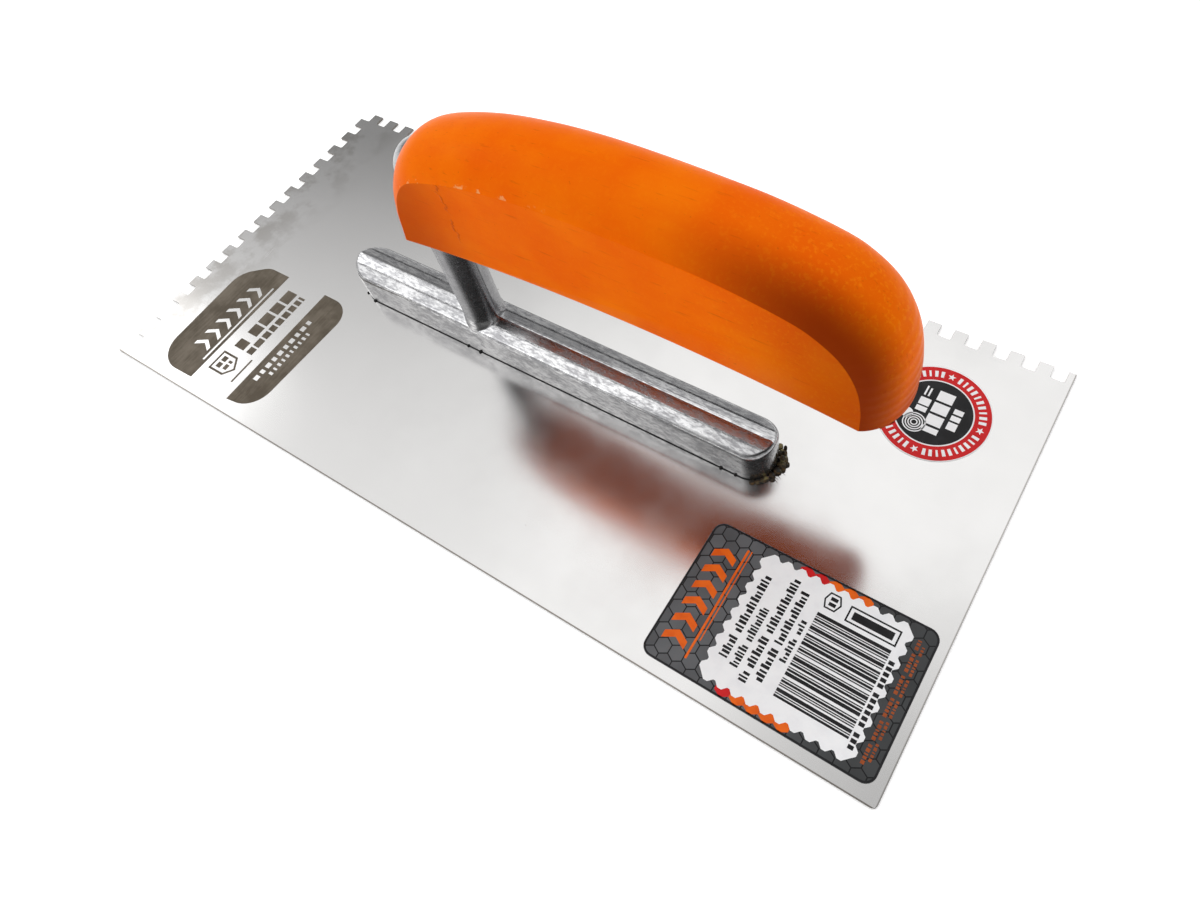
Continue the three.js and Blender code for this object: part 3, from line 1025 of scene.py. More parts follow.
@dataclass
class WoodHandle:
    """The lacquered handle: two flat cheeks, a full rim and a shallow arch for the fingers."""

    half_thickness: float = 11.8 * MM
    rim_depth: float = 6.2 * MM
    rim_reach: float = 13.0 * MM
    rim_rings: int = 14
    outline_points: int = 220
    arch_x: float = 48 * MM
    arch_top_z: float = 60.2 * MM
    arch_radius: float = 424 * MM
    lip: float = 0.3 * MM
    bore_radius: float = 6.25 * MM
    bore_end: float = 39.2 * MM
    post_x: float = -20.3 * MM
    tang_z: float = 73 * MM
    cheek: list[Point] = field(
        default_factory=lambda: [
            (-29.5, 20.0), (-24.5, 40.0), (-20.4, 57.3), (-18.9, 63.6), (-16.4, 69.9),
            (-12.5, 75.2), (-7.2, 78.7), (5.4, 82.6), (18.7, 84.9), (31.9, 86.0),
            (45.0, 86.1), (58.2, 85.7), (71.5, 84.8), (84.8, 82.5), (90.8, 80.1),
            (95.7, 76.2), (99.0, 70.5), (100.5, 63.7), (100.8, 57.3), (101.3, 40.0),
            (101.8, 20.0),
        ]
    )

    def ring_outline(self, line: Sequence[Vector], depth: float, side: float) -> list[Vector]:
        """Gives one ring of the handle's surface.

        Args:
            line: The cheek's outline.
            depth: How far the ring lies below the crown.
            side: Its distance from the middle plane.

        Returns:
            The ring's points.
        """
        ring = []
        for index, point in enumerate(line):
            ahead = line[min(index + 1, len(line) - 1)] - line[max(index - 1, 0)]
            outwards = Vector((-ahead.z, 0, ahead.x)).normalized()
            ring.append(point + outwards * (self.rim_depth - depth) + Vector((0, side, 0)))
        return ring

    def rim_profile(self) -> list[Point]:
        """Gives the rim's depth below the crown and its distance from the middle plane."""
        edge_share = self.half_thickness / self.rim_reach
        fall = self.rim_depth / (1 - math.sqrt(1 - edge_share**2))
        end_angle = math.asin(edge_share)
        profile = []
        for ring in range(self.rim_rings + 1):
            angle = end_angle * ring / self.rim_rings
            profile.append((fall * (1 - math.cos(angle)), self.rim_reach * math.sin(angle)))
        return profile

    def bulk(self) -> Object:
        """Makes the solid body: rings drawn from crown to cheek, bridged, capped and mirrored."""
        knots = [Vector((x * MM, 0, z * MM)) for x, z in self.cheek]
        line = even_spacing(smooth_line(knots), self.outline_points)
        rings = [
            draw_outline("ring", self.ring_outline(line, depth, side))
            for depth, side in self.rim_profile()
        ]
        body = join_all("wood_handle", rings)
        with editing(body):
            bpy.ops.mesh.select_all(action="SELECT")
            bpy.ops.mesh.delete(type="ONLY_FACE")
            bpy.ops.mesh.select_all(action="SELECT")
            bpy.ops.mesh.bridge_edge_loops(type="SINGLE")
            pick(body, Kind.VERT, lambda place, _: place.y > self.half_thickness - WELD)
            bpy.ops.mesh.edge_face_add()
        apply_modifier(body, "MIRROR", use_axis=(False, True, False), merge_threshold=1e-6)
        face_outwards(body)
        return body

    def arch_cutter(self) -> Object:
        """Makes the big round bar that hollows the fingers' side."""
        bpy.ops.mesh.primitive_cylinder_add(
            vertices=720, radius=self.arch_radius, depth=60 * MM,
            location=(self.arch_x, 0, self.arch_top_z - self.arch_radius),
            rotation=(math.pi / 2, 0, 0),
        )
        return new_piece("arch_cutter")

    def bore_cutter(self) -> Object:
        """Makes the swept bar that cuts the post's hole, the bend and the tang's bore."""
        bend = self.bore_radius + 0.1 * MM
        spin_x, spin_z = self.post_x + bend, self.tang_z - bend
        start_z = 40 * MM
        bpy.ops.mesh.primitive_circle_add(
            vertices=64, radius=self.bore_radius, fill_type="NGON",
            location=(self.post_x, 0, start_z),
        )
        cutter = new_piece("bore_cutter")
        settle_place(cutter)
        with editing(cutter):
            bpy.ops.mesh.select_all(action="SELECT")
            bpy.ops.mesh.extrude_region_move(
                TRANSFORM_OT_translate={"value": (0, 0, spin_z - start_z)}
            )
            bpy.ops.mesh.spin(
                steps=14, angle=-math.pi / 2, center=(spin_x, 0, spin_z), axis=(0, 1, 0)
            )
            bpy.ops.mesh.extrude_region_move(
                TRANSFORM_OT_translate={"value": (self.bore_end - spin_x, 0, 0)}
            )
        face_outwards(cutter)
        return cutter

    def slot_box(self) -> Object:
        """Makes the upright part of the slot between the front and the post."""
        width = 2 * self.bore_radius + 0.04 * MM
        bpy.ops.mesh.primitive_cube_add(
            size=1,
            location=((self.post_x - 60 * MM) / 2, 0, (self.tang_z + 30 * MM) / 2),
            scale=(60 * MM + self.post_x, width, self.tang_z - 30 * MM),
        )
        return new_piece("slot_box")

    def ease_lip(self, handle: Object) -> None:
        """Takes the sharpness off the arch's edges."""
        middle = Vector((self.arch_x, 0, self.arch_top_z - self.arch_radius))

        def on_arch(place: Vector, _: Vector) -> bool:
            across = Vector((place.x, 0, place.z)) - middle
            return abs(across.length - self.arch_radius) < 0.05 * MM

        with editing(handle):
            pick(handle, Kind.FACE, on_arch)
            bpy.ops.mesh.region_to_loop()
            bpy.ops.mesh.bevel(offset=self.lip, segments=2, profile=0.5, affect="EDGES")

    def build(self) -> None:
        """Builds the handle and dresses it."""
        handle = self.bulk()
        for cutter in (self.arch_cutter(), self.slot_round(), self.slot_box(), self.bore_cutter()):
            combine(handle, cutter, Cut.REMOVE)
        self.ease_lip(handle)
        present(handle, OrangeLacquer().build(), Slot.WOOD, ["handle"], crease=24.0)

    def slot_round(self) -> Object:
        """Makes the round top of the slot that the elbow fills."""
        radius = self.bore_radius + 0.03 * MM
        front_x = -60 * MM
        bpy.ops.mesh.primitive_cylinder_add(
            vertices=64, radius=radius, depth=self.post_x - front_x,
            location=((self.post_x + front_x) / 2, 0, self.tang_z),
            rotation=(0, math.pi / 2, 0),
        )
        return new_piece("slot_round")


# -------------------------------------------------------------- printed pieces


@dataclass
class PrintShop:
    """Makes the thin flat pieces that labels, badges and etched marks are made of."""

    base_z: float
    layer: float = 0.02 * MM
    sink: float = 0.01 * MM

    def plate(self, name: str, outline: Sequence[Point], level: int) -> Object:
        """Makes a flat plate.

        Args:
            name: The plate's name.
            outline: Its corners in millimetres.
            level: Which layer above the base it is; it reaches down into the one below.

        Returns:
            The plate.
        """
        top = self.base_z + self.layer * level
        low = top - self.layer - self.sink
        points = [Vector((x * MM, y * MM, low)) for x, y in outline]
        plate = draw_outline(name, points)
        thicken(plate, Vector((0, 0, top - low)))
        return plate

    def ring(self, name: str, outline: Sequence[Point], width: float, level: int) -> Object:
        """Makes a frame that follows an outline.

        Args:
            name: The frame's name.
            outline: Its outer corners in millimetres.
            width: Its width in millimetres.
            level: Which layer above the base it is.

        Returns:
            The frame.
        """
        top = self.base_z + self.layer * level
        low = top - self.layer - self.sink
        ring = draw_outline(name, [Vector((x * MM, y * MM, low)) for x, y in outline])
        with editing(ring):
            bpy.ops.mesh.select_mode(type="FACE")
            bpy.ops.mesh.select_all(action="SELECT")
            bpy.ops.mesh.inset(thickness=width * MM, depth=0, use_even_offset=True)
            bpy.ops.mesh.delete(type="FACE")
        thicken(ring, Vector((0, 0, top - low)))
        return ring

    def block(self, box: tuple[float, float, float, float], level: int, slant: float = 0.0) -> Object:
        """Makes one small printed block.

        Args:
            box: Its lowest x, lowest y, highest x and highest y, in millimetres.
            level: Which layer above the base it is.
            slant: How far its +X side is moved along Y, in millimetres.

        Returns:
            The block.
        """
        low_x, low_y, high_x, high_y = box
        corners = [
            (low_x, low_y), (high_x, low_y + slant), (high_x, high_y + slant), (low_x, high_y),
        ]
        return self.plate("block", corners, level)

    def line_of_blocks(
        self, x: Point, y: Point, shares: Sequence[float], gap: float, level: int, slant: float = 0.0
    ) -> list[Object]:
        """Makes a row of blocks along Y.

        Args:
            x: The row's two sides, in millimetres.
            y: The row's start and end, in millimetres.
            shares: The blocks' lengths in relation to one another; below 0 is an empty place.
            gap: The space between two blocks, in millimetres.
            level: Which layer above the base they are.
            slant: How far each block's +X side is moved along Y.

        Returns:
            The blocks.
        """
        room = y[1] - y[0] - gap * (len(shares) - 1)
        unit = room / sum(abs(share) for share in shares)
        blocks, place = [], y[0]
        for share in shares:
            length = abs(share) * unit
            if share > 0:
                blocks.append(self.block((x[0], place, x[1], place + length), level, slant))
            place += length + gap
        return blocks

    def disc(self, name: str, centre: Point, radius: float, level: int, hole: float = 0.0) -> Object:
        """Makes a flat disc or ring.

        Args:
            name: The disc's name.
            centre: Its middle, in millimetres.
            radius: Its radius, in millimetres.
            level: Which layer above the base it is.
            hole: The radius of its hole, in millimetres, or 0.

        Returns:
            The disc.
        """
        top = self.base_z + self.layer * level
        low = top - self.layer - self.sink
        bpy.ops.mesh.primitive_circle_add(
            vertices=96, radius=radius * MM, fill_type="NGON",
            location=(centre[0] * MM, centre[1] * MM, low),
        )
        disc = new_piece(name)
        settle_place(disc)
        if hole > 0:
            with editing(disc):
                bpy.ops.mesh.select_mode(type="FACE")
                bpy.ops.mesh.select_all(action="SELECT")
                bpy.ops.mesh.inset(thickness=(radius - hole) * MM, depth=0)
                bpy.ops.mesh.delete(type="FACE")
        thicken(disc, Vector((0, 0, top - low)))
        return disc


@dataclass
class ProductLabel:
    """The rectangular label: hexagon film, torn-hexagon white panel and generic print."""

    low: Point = (71.4, -60.5)
    high: Point = (132.4, -20.7)
    corner: float = 3.0
    thickness: float = 0.12 * MM
    panel_low: Point = (87.2, -57.5)
    panel_high: Point = (125.6, -23.4)
    tooth: float = 1.1
    tooth_pitch: float = 3.9

    def outline(self, margin: float) -> list[Point]:
        """Gives the label's outline, a margin inside its edge."""
        radius = self.corner - margin
        low_x, low_y = self.low[0] + margin, self.low[1] + margin
        high_x, high_y = self.high[0] - margin, self.high[1] - margin
        corners = [
            (low_x, low_y, radius), (high_x, low_y, radius),
            (high_x, high_y, radius), (low_x, high_y, radius),
        ]
        return rounded_corners(corners, 6)

    def panel_outline(self) -> list[Point]:
        """Gives the white panel's outline, which steps in and out like cut hexagons."""
        low, high = Vector(self.panel_low), Vector(self.panel_high)
        corners = [low, Vector((high.x, low.y)), high, Vector((low.x, high.y))]
        points: list[Point] = []
        for index, start in enumerate(corners):
            end = corners[(index + 1) % 4]
            along = end - start
            out = Vector((along.y, -along.x)).normalized()
            teeth = round(along.length / self.tooth_pitch)
            for tooth in range(teeth):
                for share, rise in ((0.08, 0.0), (0.36, 1.0), (0.64, 1.0), (0.92, 0.0)):
                    spot = start + along * ((tooth + share) / teeth) + out * self.tooth * rise
                    points.append((spot.x, spot.y))
        return points

    def hexagons(self, shop: PrintShop, cells: Sequence[Point], level: int) -> list[Object]:
        """Makes hexagon cells at the given middles."""
        radius = 3.9 / math.sqrt(3) * 0.985
        made = []
        for x, y in cells:
            ring = [
                (x + radius * math.sin(TAU * k / 6), y + radius * math.cos(TAU * k / 6))
                for k in range(6)
            ]
            made.append(shop.plate("cell", ring, level))
        return made

    def emblem(self, shop: PrintShop) -> list[Object]:
        """Makes the orange emblem of stepped chevrons over two rules."""
        marks = []
        for index in range(6):
            y = -55.0 + index * 4.9
            outline = [(74.4, y), (77.6, y + 1.8), (80.8, y), (80.8, y + 2.1), (77.6, y + 3.9), (74.4, y + 2.1)]
            marks.append(shop.plate("chevron", outline, 1))
        marks.append(shop.block((82.0, -56.5, 82.6, -24.5), 1))
        marks.append(shop.block((83.1, -51.0, 83.4, -24.5), 1))
        return marks

    def panel_print(self, shop: PrintShop) -> list[Object]:
        """Makes the black print of the white panel: word-like blocks, bars and a box."""
        marks: list[Object] = []
        rows = [
            ((88.7, 91.0), (-51.5, -28.0), (4, 11), 1.2),
            ((92.1, 94.3), (-52.3, -35.5), (5, 8), 1.2),
            ((95.4, 97.7), (-54.5, -25.3), (2, 6, 11), 1.2),
            ((98.8, 101.0), (-52.4, -27.2), (6, 10), 1.2),
            ((101.9, 103.6), (-45.6, -33.8), (5, 3), 1.2),
        ]
        for (low, high), (start, end), words, gap in rows:
            room = end - start - gap * (len(words) - 1)
            place = start
            for word in words:
                length = room * word / sum(words)
                strokes = round(1.4 * word)
                pitch = length / strokes
                for stroke in range(strokes):
                    top = low + (0.0, 0.65, 0.3, 0.65, 0.0)[(3 * stroke + word) % 5]
                    side = place + stroke * pitch
                    share = (0.75, 0.5, 0.68)[(5 * stroke + word) % 3]
                    marks.append(shop.block((top, side, high, side + share * pitch), 3))
                place += length + gap
        place, widths = -53.6, (2, 1, 3, 1, 1, 2, 1, 3, 2, 1)
        index = 0
        while place < -31.0:
            width = 0.30 * widths[index % len(widths)]
            marks.append(shop.block((104.6, place, 123.6, place + width), 3))
            place += width + 0.24 * (1, 1, 2, 1, 1, 1, 3)[index % 7]
            index += 1
        marks.append(
            shop.ring("box", [(110.9, -29.2), (124.0, -29.2), (124.0, -24.9), (110.9, -24.9)], 0.42, 3)
        )
        marks += shop.line_of_blocks((112.2, 122.7), (-28.1, -26.0), (1,), 0.1, 3)
        crest = [(105.2, -28.6), (108.0, -28.6), (109.0, -26.4), (108.0, -24.2), (105.2, -24.2), (104.4, -26.4)]
        marks.append(shop.ring("crest", crest, 0.4, 3))
        marks += shop.line_of_blocks((105.9, 107.7), (-27.6, -25.2), (2, 2), 0.5, 3)
        ticks = [0.9, 0.9, 0.9, -0.6, 0.9, 0.9, 0.9, 0.9, 0.9, 0.9, -0.4, 0.9, 0.9, 0.9, 0.9, 0.9]
        marks += shop.line_of_blocks((124.1, 125.5), (-55.4, -32.6), ticks, 0.5, 3)
        return marks

    def build(self) -> None:
        """Builds the label's layers and dresses them."""
        film = PrintShop(SHEET_TOP + self.thickness)
        points = [Vector((x * MM, y * MM, SHEET_TOP)) for x, y in self.outline(0)]
        base = draw_outline("label_film", points)
        thicken(base, Vector((0, 0, self.thickness)))
        present(base, HexFilm().build(), Slot.LABEL, ["product_label"])
        inks = {name: ink.build() for name, ink in INKS.items()}
        border = film.ring("label_border", self.outline(0.12), 0.45, 1)
        panel = film.plate("label_panel", self.panel_outline(), 2)
        hot = self.hexagons(film, [(x, -23.0) for x in (105.6, 109.5, 113.4)], 1)
        hot += self.hexagons(film, [(x, -58.1) for x in (97.8, 101.7, 105.6, 109.5)], 1)
        red = self.hexagons(film, [(97.8, -23.0), (101.7, -23.0), (93.9, -58.1)], 1)
        rust = film.line_of_blocks((127.9, 128.8), (-56.8, -24.8), self.small_words(), 0.35, 1)
        rust += film.line_of_blocks((129.3, 130.0), (-55.6, -26.0), self.small_words(), 0.35, 1)
        present(border, inks["black"], Slot.LABEL)
        present(panel, inks["white"], Slot.LABEL)
        present(join_all("label_orange_cells", hot), inks["orange"], Slot.LABEL)
        present(join_all("label_red_cells", red), inks["red"], Slot.LABEL)
        present(join_all("label_fine_print", rust), inks["rust"], Slot.LABEL)
        present(join_all("label_emblem", self.emblem(film)), inks["orange"], Slot.LABEL)
        present(join_all("label_print", self.panel_print(film)), inks["black"], Slot.LABEL)

    @staticmethod
    def small_words() -> list[float]:
        """Gives the lengths of a row of small word-like blocks."""
        return [0.7 + 0.5 * ((5 * k) % 3) if k % 6 else -0.8 for k in range(1, 34)]


@dataclass
class RoundBadge:
    """The round sticker: red ring with dots and blocks round a black middle."""

    centre: Point = (106.4, 35.3)
    radius: float = 15.3
    thickness: float = 0.12 * MM
    red_radius: float = 15.05
    white_radius: float = 10.7
    black_radius: float = 10.3

    def around(self, angle: float, distance: float) -> Point:
        """Gives the point at an angle and a distance from the badge's middle."""
        return (
            self.centre[0] + distance * math.cos(angle),
            self.centre[1] + distance * math.sin(angle),
        )

    def ring_print(self, shop: PrintShop) -> list[Object]:
        """Makes the white blocks and stars round the red ring."""
        marks = []
        for index in range(48):
            middle = TAU * (index + 0.5) / 48
            if index % 12 in (0, 11):
                continue
            half = 0.034 if index % 3 else 0.022
            corners = [
                self.around(middle - half, 11.8), self.around(middle + half, 11.8),
                self.around(middle + half, 13.8), self.around(middle - half, 13.8),
            ]
            marks.append(shop.plate("ring_block", corners, 2))
        for quarter in range(4):
            spot = self.around(TAU * quarter / 4, 12.8)
            star = []
            for tip in range(10):
                reach = 1.15 if tip % 2 == 0 else 0.48
                angle = TAU * tip / 10 + TAU * quarter / 4
                star.append((spot[0] + reach * math.cos(angle), spot[1] + reach * math.sin(angle)))
            marks.append(shop.plate("star", star, 2))
        return marks

    def middle_print(self, shop: PrintShop) -> list[Object]:
        """Makes the white print of the black middle: rings, a rule and block rows."""
        x, y = self.centre
        marks = []
        for radius in (1.0, 1.7, 2.4, 3.1):
            marks.append(shop.disc("ripple", (x - 3.4, y - 5.2), radius, 3, radius - 0.32))
        marks.append(shop.disc("boss", (x - 6.2, y - 3.1), 1.6, 3))
        marks += shop.line_of_blocks((x - 4.9, x - 1.9), (y - 1.2, y + 3.4), (2, 3), 0.5, 3)
        marks.append(shop.block((x - 4.6, y + 4.2, x - 4.1, y + 7.4), 3))
        marks.append(shop.block((x - 3.5, y + 4.2, x - 3.0, y + 7.0), 3))
        marks += shop.line_of_blocks((x - 1.0, x + 3.4), (y - 6.6, y + 7.4), (1.6, 3, 3, 3), 0.75, 3)
        marks += shop.line_of_blocks((x + 4.6, x + 7.2), (y - 3.4, y + 3.6), (3, 2, 2), 0.6, 3)
        return marks

    def build(self) -> None:
        """Builds the badge's layers and dresses them."""
        x, y = self.centre
        inks = {name: ink.build() for name, ink in INKS.items()}
        bpy.ops.mesh.primitive_circle_add(
            vertices=96, radius=self.radius * MM, fill_type="NGON",
            location=(x * MM, y * MM, SHEET_TOP),
        )
        base = new_piece("badge_film")
        settle_place(base)
        thicken(base, Vector((0, 0, self.thickness)))
        shop = PrintShop(SHEET_TOP + self.thickness)
        red = shop.disc("badge_red", (x, y), self.red_radius, 1, self.white_radius)
        black = shop.disc("badge_black", (x, y), self.black_radius, 2)
        present(base, inks["white"], Slot.BADGE, ["round_badge"])
        present(red, inks["red"], Slot.BADGE)
        present(black, inks["black"], Slot.BADGE)
        marks = self.ring_print(shop) + self.middle_print(shop)
        present(join_all("badge_print", marks), inks["white"], Slot.BADGE)


@dataclass
class EtchedMarks:
    """The matt panels etched into the sheet, with plain bars left bright in them."""

    depth: float = 0.012 * MM

    def build(self) -> None:
        """Builds the etched panels, the marks between them and their bright bars."""
        shop = PrintShop(SHEET_TOP, layer=self.depth)
        upper = [
            (-102.5, -59.4, 0), (-102.5, -13.2, 0), (-112.0, -13.2, 6.5),
            (-120.6, -20.0, 9.0), (-120.0, -59.9, 9.5),
        ]
        lower = [
            (-84.9, -59.6, 0), (-73.6, -58.4, 9.0), (-71.8, -13.2, 7.5), (-84.9, -13.2, 0),
        ]
        marks = [
            shop.plate("upper", rounded_corners(upper, 9), 1),
            shop.plate("lower", rounded_corners(lower, 9), 1),
        ]
        marks += shop.line_of_blocks((-98.4, -94.0), (-43.5, -17.6), (2.6, -0.8, 3, 3.4, 3, 3.6), 0.8, 1)
        marks += shop.line_of_blocks(
            (-92.6, -89.9), (-43.5, -17.9), (1.5, 1.9, 1.5, 1.3, 1.5, 1.4, 1.3, 1.0, 0.5), 0.65, 1
        )
        crest = [(-100.0, -54.0), (-93.4, -54.0), (-90.6, -50.4), (-93.4, -46.4), (-100.0, -46.4)]
        marks.append(shop.ring("crest", crest, 0.75, 1))
        marks += shop.line_of_blocks((-98.2, -96.2), (-52.4, -47.9), (2, 2), 0.6, 1)
        marks += shop.line_of_blocks((-95.2, -93.6), (-52.0, -48.4), (2, 1), 0.6, 1)
        marks.append(shop.block((-88.6, -54.3, -87.9, -44.8), 1))
        present(join_all("etched_marks", marks), EtchedSteel().build(), Slot.STEEL)
        bright = []
        for index, y in enumerate((-49.5, -44.6, -39.7, -34.8, -29.9, -25.0)):
            bright.append(
                shop.plate(
                    "chevron",
                    [(-112.2, y), (-108.8, y + 2.0), (-105.6, y), (-105.6, y + 1.5), (-108.8, y + 3.5), (-112.2, y + 1.5)],
                    2,
                )
            )
        bright.append(shop.block((-104.4, -52.5, -103.7, -19.5), 2))
        for low, high, start, end in ((-82.4, -80.6, -50.0, -24.0), (-79.2, -77.6, -46.0, -28.0)):
            bright += shop.line_of_blocks((low, high), (start, end), [1.2, 0.9] * 5, 1.1, 2)
        present(join_all("etched_bright_bars", bright), RolledSteel().build(), Slot.STEEL)


# -------------------------------------------------------------------- sealant


@dataclass
class Sealant:
    """The squeezed-out specks of the dark film under the foot, and the crust at the tail end."""

    seed: int = 7
    specks: tuple[Point, ...] = (
        (-71.3, -5.6), (-66.8, -7.1), (-26.4, -7.1), (-21.4, -7.2),
        (12.0, 7.2), (64.1, -7.1), (68.6, -7.1), (74.8, -5.4),
    )
    crust: tuple[tuple[float, float, float, float], ...] = (
        (77.4, -2.6, 1.2, 0.9), (78.0, -0.8, 1.5, 1.1), (78.2, 1.2, 1.8, 1.3), (77.8, 3.0, 1.7, 1.3),
        (76.7, 4.8, 1.4, 1.2), (75.0, 6.3, 1.1, 0.9), (79.0, 0.2, 0.9, 0.8), (79.2, 2.2, 1.0, 0.8),
        (78.0, 1.9, 2.9, 0.7), (77.6, 3.6, 2.6, 0.6), (77.2, 5.2, 2.4, 0.5), (76.4, -4.4, 0.9, 0.9),
        (75.0, -6.0, 0.8, 0.9), (73.6, -6.9, 0.7, 0.8), (77.9, -3.6, 0.6, 0.8), (75.8, -5.3, 0.9, 0.8),
    )

    def lump(self, x: float, y: float, height: float, size: float) -> Object:
        """Makes one uneven lump, its measures in millimetres."""
        bpy.ops.mesh.primitive_ico_sphere_add(
            subdivisions=3, radius=size * MM, location=(x * MM, y * MM, SHEET_TOP + 0.45 * height * MM)
        )
        lump = new_piece("lump")
        settle_place(lump)
        with editing(lump):
            bpy.ops.mesh.select_all(action="SELECT")
            bpy.ops.transform.resize(
                value=(1, 1, 0.55 * height / size), center_override=(x * MM, y * MM, SHEET_TOP)
            )
            bpy.ops.transform.vertex_random(offset=0.13 * size * MM, seed=self.seed)
            bpy.ops.mesh.select_all(action="SELECT")
            bpy.ops.mesh.bisect(
                plane_co=(0, 0, SHEET_TOP), plane_no=(0, 0, 1), use_fill=True, clear_inner=True,
                threshold=WELD,
            )
        face_outwards(lump)
        return lump

    def wisp(self, index: int) -> Object:
        """Makes one thin stray fibre at the crust's outer side."""
        angle = -0.50 + 0.16 * index
        reach = 9.0 + 0.5 * (index % 2)
        lean = 0.5 + 0.25 * ((index * 3) % 4)
        bpy.ops.mesh.primitive_cone_add(
            vertices=6, radius1=0.09 * MM, radius2=0.02 * MM, depth=1.9 * MM,
            location=((70 + reach * math.cos(angle)) * MM, reach * math.sin(angle) * MM, SHEET_TOP + 0.9 * MM),
            rotation=(0, lean, angle),
        )
        wisp = new_piece("wisp")
        with editing(wisp):
            bpy.ops.mesh.select_all(action="SELECT")
            bpy.ops.mesh.subdivide(number_cuts=3)
            bpy.ops.transform.vertex_random(offset=0.05 * MM, seed=self.seed + index)
        return wisp

    def build(self) -> None:
        """Builds the crust and the specks, and dresses them."""
        lumps = [self.lump(*lump) for lump in self.crust]
        lumps += [self.wisp(index) for index in range(4)]
        bead = join_all("sealant_crust", lumps)
        specks = [
            self.lump(x, y, 0.55, 0.42 + 0.1 * (index % 2)) for index, (x, y) in enumerate(self.specks)
        ]
        crusty = CrustySealant().build()
        present(bead, crusty, Slot.SEALANT, ["sealant_bead"], crease=60.0)
        present(join_all("sealant_specks", specks), BlackSeam().build(), Slot.SEALANT)


# --------------------------------------------------------------------- studio


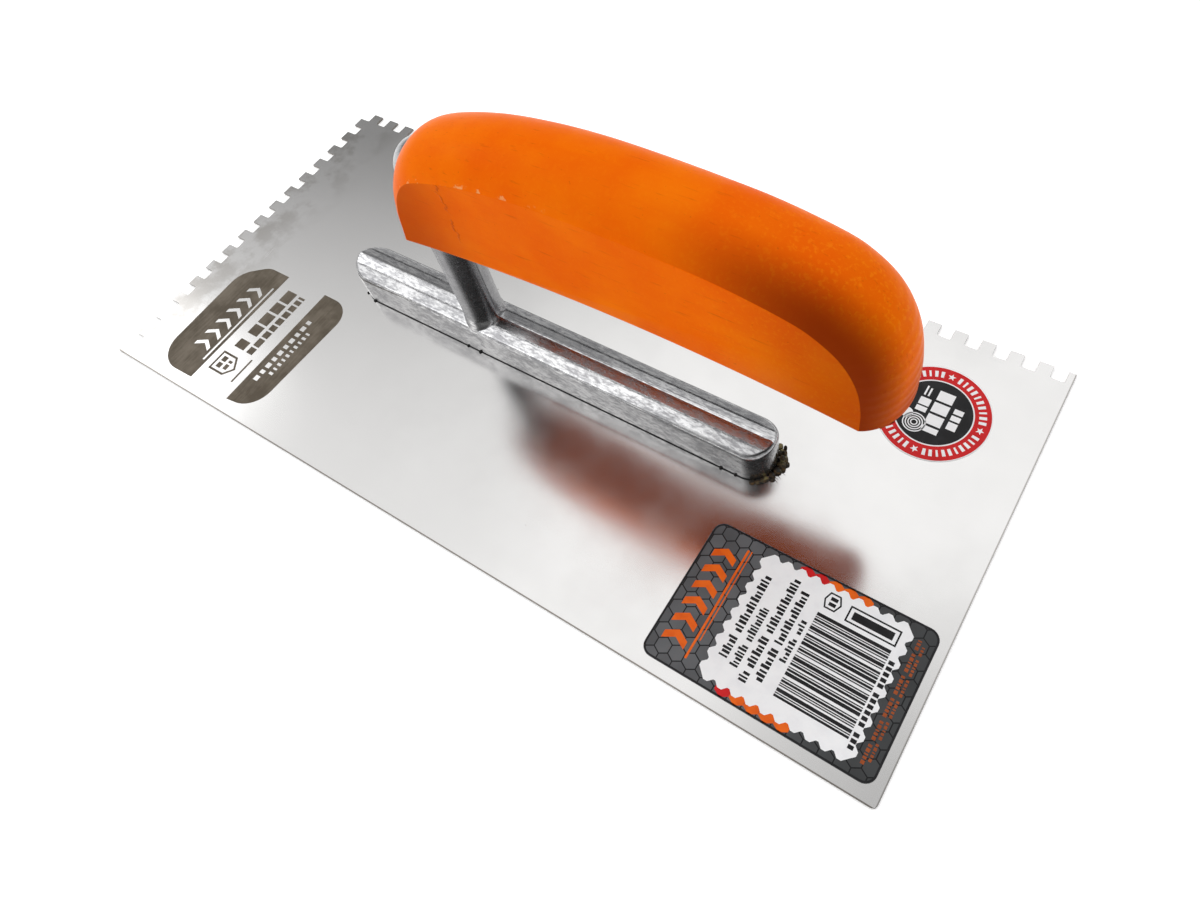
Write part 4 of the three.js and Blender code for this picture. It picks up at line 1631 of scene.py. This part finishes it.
@dataclass
class Studio:
    """Camera, floor and light."""

    camera_place: Colour = (0.12498, -0.09390, 0.20062)
    camera_turn: Colour = (30.08, 7.47, 32.41)
    lens: float = 24.78
    shift: Point = (-0.0361, -0.0094)
    floor_size: float = 12.0
    floor_drop: float = 0.15 * MM
    dark_side: Colour = (-0.70, 0.62, 0.35)
    dark_steps: tuple[Point, ...] = (
        (0.0, 1.0), (0.80, 1.0), (0.86, 0.90), (0.905, 0.67), (0.96, 0.28), (1.0, 0.15),
    )
    low_light: float = 0.50
    high_light: float = 1.88
    behind_share: float = 0.92
    horizon_light: float = 0.50
    horizon_reach: Point = (0.30, 0.62)
    dim_sides: tuple[tuple[Colour, Point, float], ...] = (
        ((0.62, -0.62, 0.42), (0.35, 0.78), 0.02),
        ((-0.59, 0.18, 0.78), (0.974, 0.992), 0.82),
        ((0.10, 0.10, 0.99), (0.95, 0.997), 0.50),
    )

    def camera(self) -> None:
        """Adds the camera."""
        data = bpy.data.cameras.new("camera")
        data.lens = self.lens
        data.shift_x, data.shift_y = self.shift
        data.clip_start = 0.01
        camera = bpy.data.objects.new("camera", data)
        camera.location = self.camera_place
        camera.rotation_euler = [math.radians(angle) for angle in self.camera_turn]
        bpy.context.scene.collection.objects.link(camera)
        bpy.context.scene.camera = camera

    def floor(self) -> None:
        """Adds the plain pale floor."""
        bpy.ops.mesh.primitive_plane_add(size=self.floor_size, location=(0, 0, -self.floor_drop))
        floor = new_piece("floor")
        settle_place(floor)
        floor.data.materials.append(StudioWhite().build())

    def softbox(self, name: str, place: Colour, aim: Colour, size: float, radiance: float) -> None:
        """Adds one soft square light.

        Args:
            name: Its name.
            place: Where it hangs.
            aim: The point that it faces.
            size: Its side.
            radiance: How bright its face is.
        """
        data = bpy.data.lights.new(name, "AREA")
        data.shape = "SQUARE"
        data.size = size
        data.energy = radiance * math.pi * size * size
        light = bpy.data.objects.new(name, data)
        light.location = place
        towards = Vector(aim) - Vector(place)
        light.rotation_euler = towards.to_track_quat("-Z", "Y").to_euler()
        bpy.context.scene.collection.objects.link(light)

    def world(self) -> None:
        """Lights the room: bright overhead, dimmer low down and behind, one side dark."""
        world = bpy.data.worlds.new("room")
        bpy.context.scene.world = world
        world.use_nodes = True
        book = NodeBook.__new__(NodeBook)
        book.tree = world.node_tree
        towards = book.node("TexCoord", {}).outputs["Generated"]
        height = book.steps(book.axis(towards, 2), 0.15, 0.85, (self.low_light, self.high_light))
        behind = book.steps(book.axis(towards, 1), 0.35, 0.95, (1.0, self.behind_share))
        for side, reach, share in self.dim_sides:
            near = book.vector("DOT_PRODUCT", towards, Vector(side).normalized())
            dim = book.steps(near.outputs["Value"], *reach, (1.0, share))
            behind = book.sum("MULTIPLY", behind, dim)
        dot = book.vector("DOT_PRODUCT", towards, Vector(self.dark_side).normalized())
        ramp = book.node("ValToRGB", {0: dot.outputs["Value"]}).color_ramp
        while len(ramp.elements) < len(self.dark_steps):
            ramp.elements.new(0.5)
        for element, (place, tone) in zip(ramp.elements, self.dark_steps):
            element.position = place
            element.color = (tone, tone, tone, 1)
        side = book.tree.nodes[-1].outputs[0]
        light = book.sum("MULTIPLY", book.sum("MULTIPLY", height, behind), side)
        horizon = book.steps(book.axis(towards, 2), *self.horizon_reach, (self.horizon_light, 0.0))
        light = book.sum("MAXIMUM", light, horizon)
        background = book.tree.nodes["Background"]
        book.tree.links.new(light, background.inputs["Strength"])
        background.inputs["Color"].default_value = (1, 1, 1, 1)

    def build(self) -> None:
        """Sets up the whole studio."""
        self.camera()
        self.floor()
        self.world()
        self.softbox("left_box", (-0.82, -0.01, 0.54), (-0.10, -0.06, 0.0), 0.27, 1.5)
        self.softbox("key_box", (-0.60, -0.80, 0.45), (0.0, 0.0, 0.05), 0.5, 1.6)
        bpy.context.scene.view_settings.view_transform = "Standard"
        LOG.info("studio ready")


# ----------------------------------------------------------------------- main


def dress(node: str, material: bpy.types.Material, slot: Slot) -> None:
    """Gives a CAD node that stays its procedural material."""
    obj = frame["nodes"][node]
    obj.data.materials.clear()
    obj.data.materials.append(material)
    LOG.info("%s dressed, %s", node, slot.value)


def main() -> None:
    """Builds every piece."""
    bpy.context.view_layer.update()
    Studio().build()
    Blade().build()
    CastFoot().build()
    WoodHandle().build()
    ProductLabel().build()
    RoundBadge().build()
    EtchedMarks().build()
    Sealant().build()
    dress("sealant_film", BlackSeam().build(), Slot.SEALANT)
    dress("handle_glue", CuredGlue().build(), Slot.GLUE)
    rivet = GroundRivet().build()
    for node in sorted(frame["nodes"]):
        if node.startswith("rivet_"):
            dress(node, rivet, Slot.RIVET)


if __name__ == "__main__":
    main()
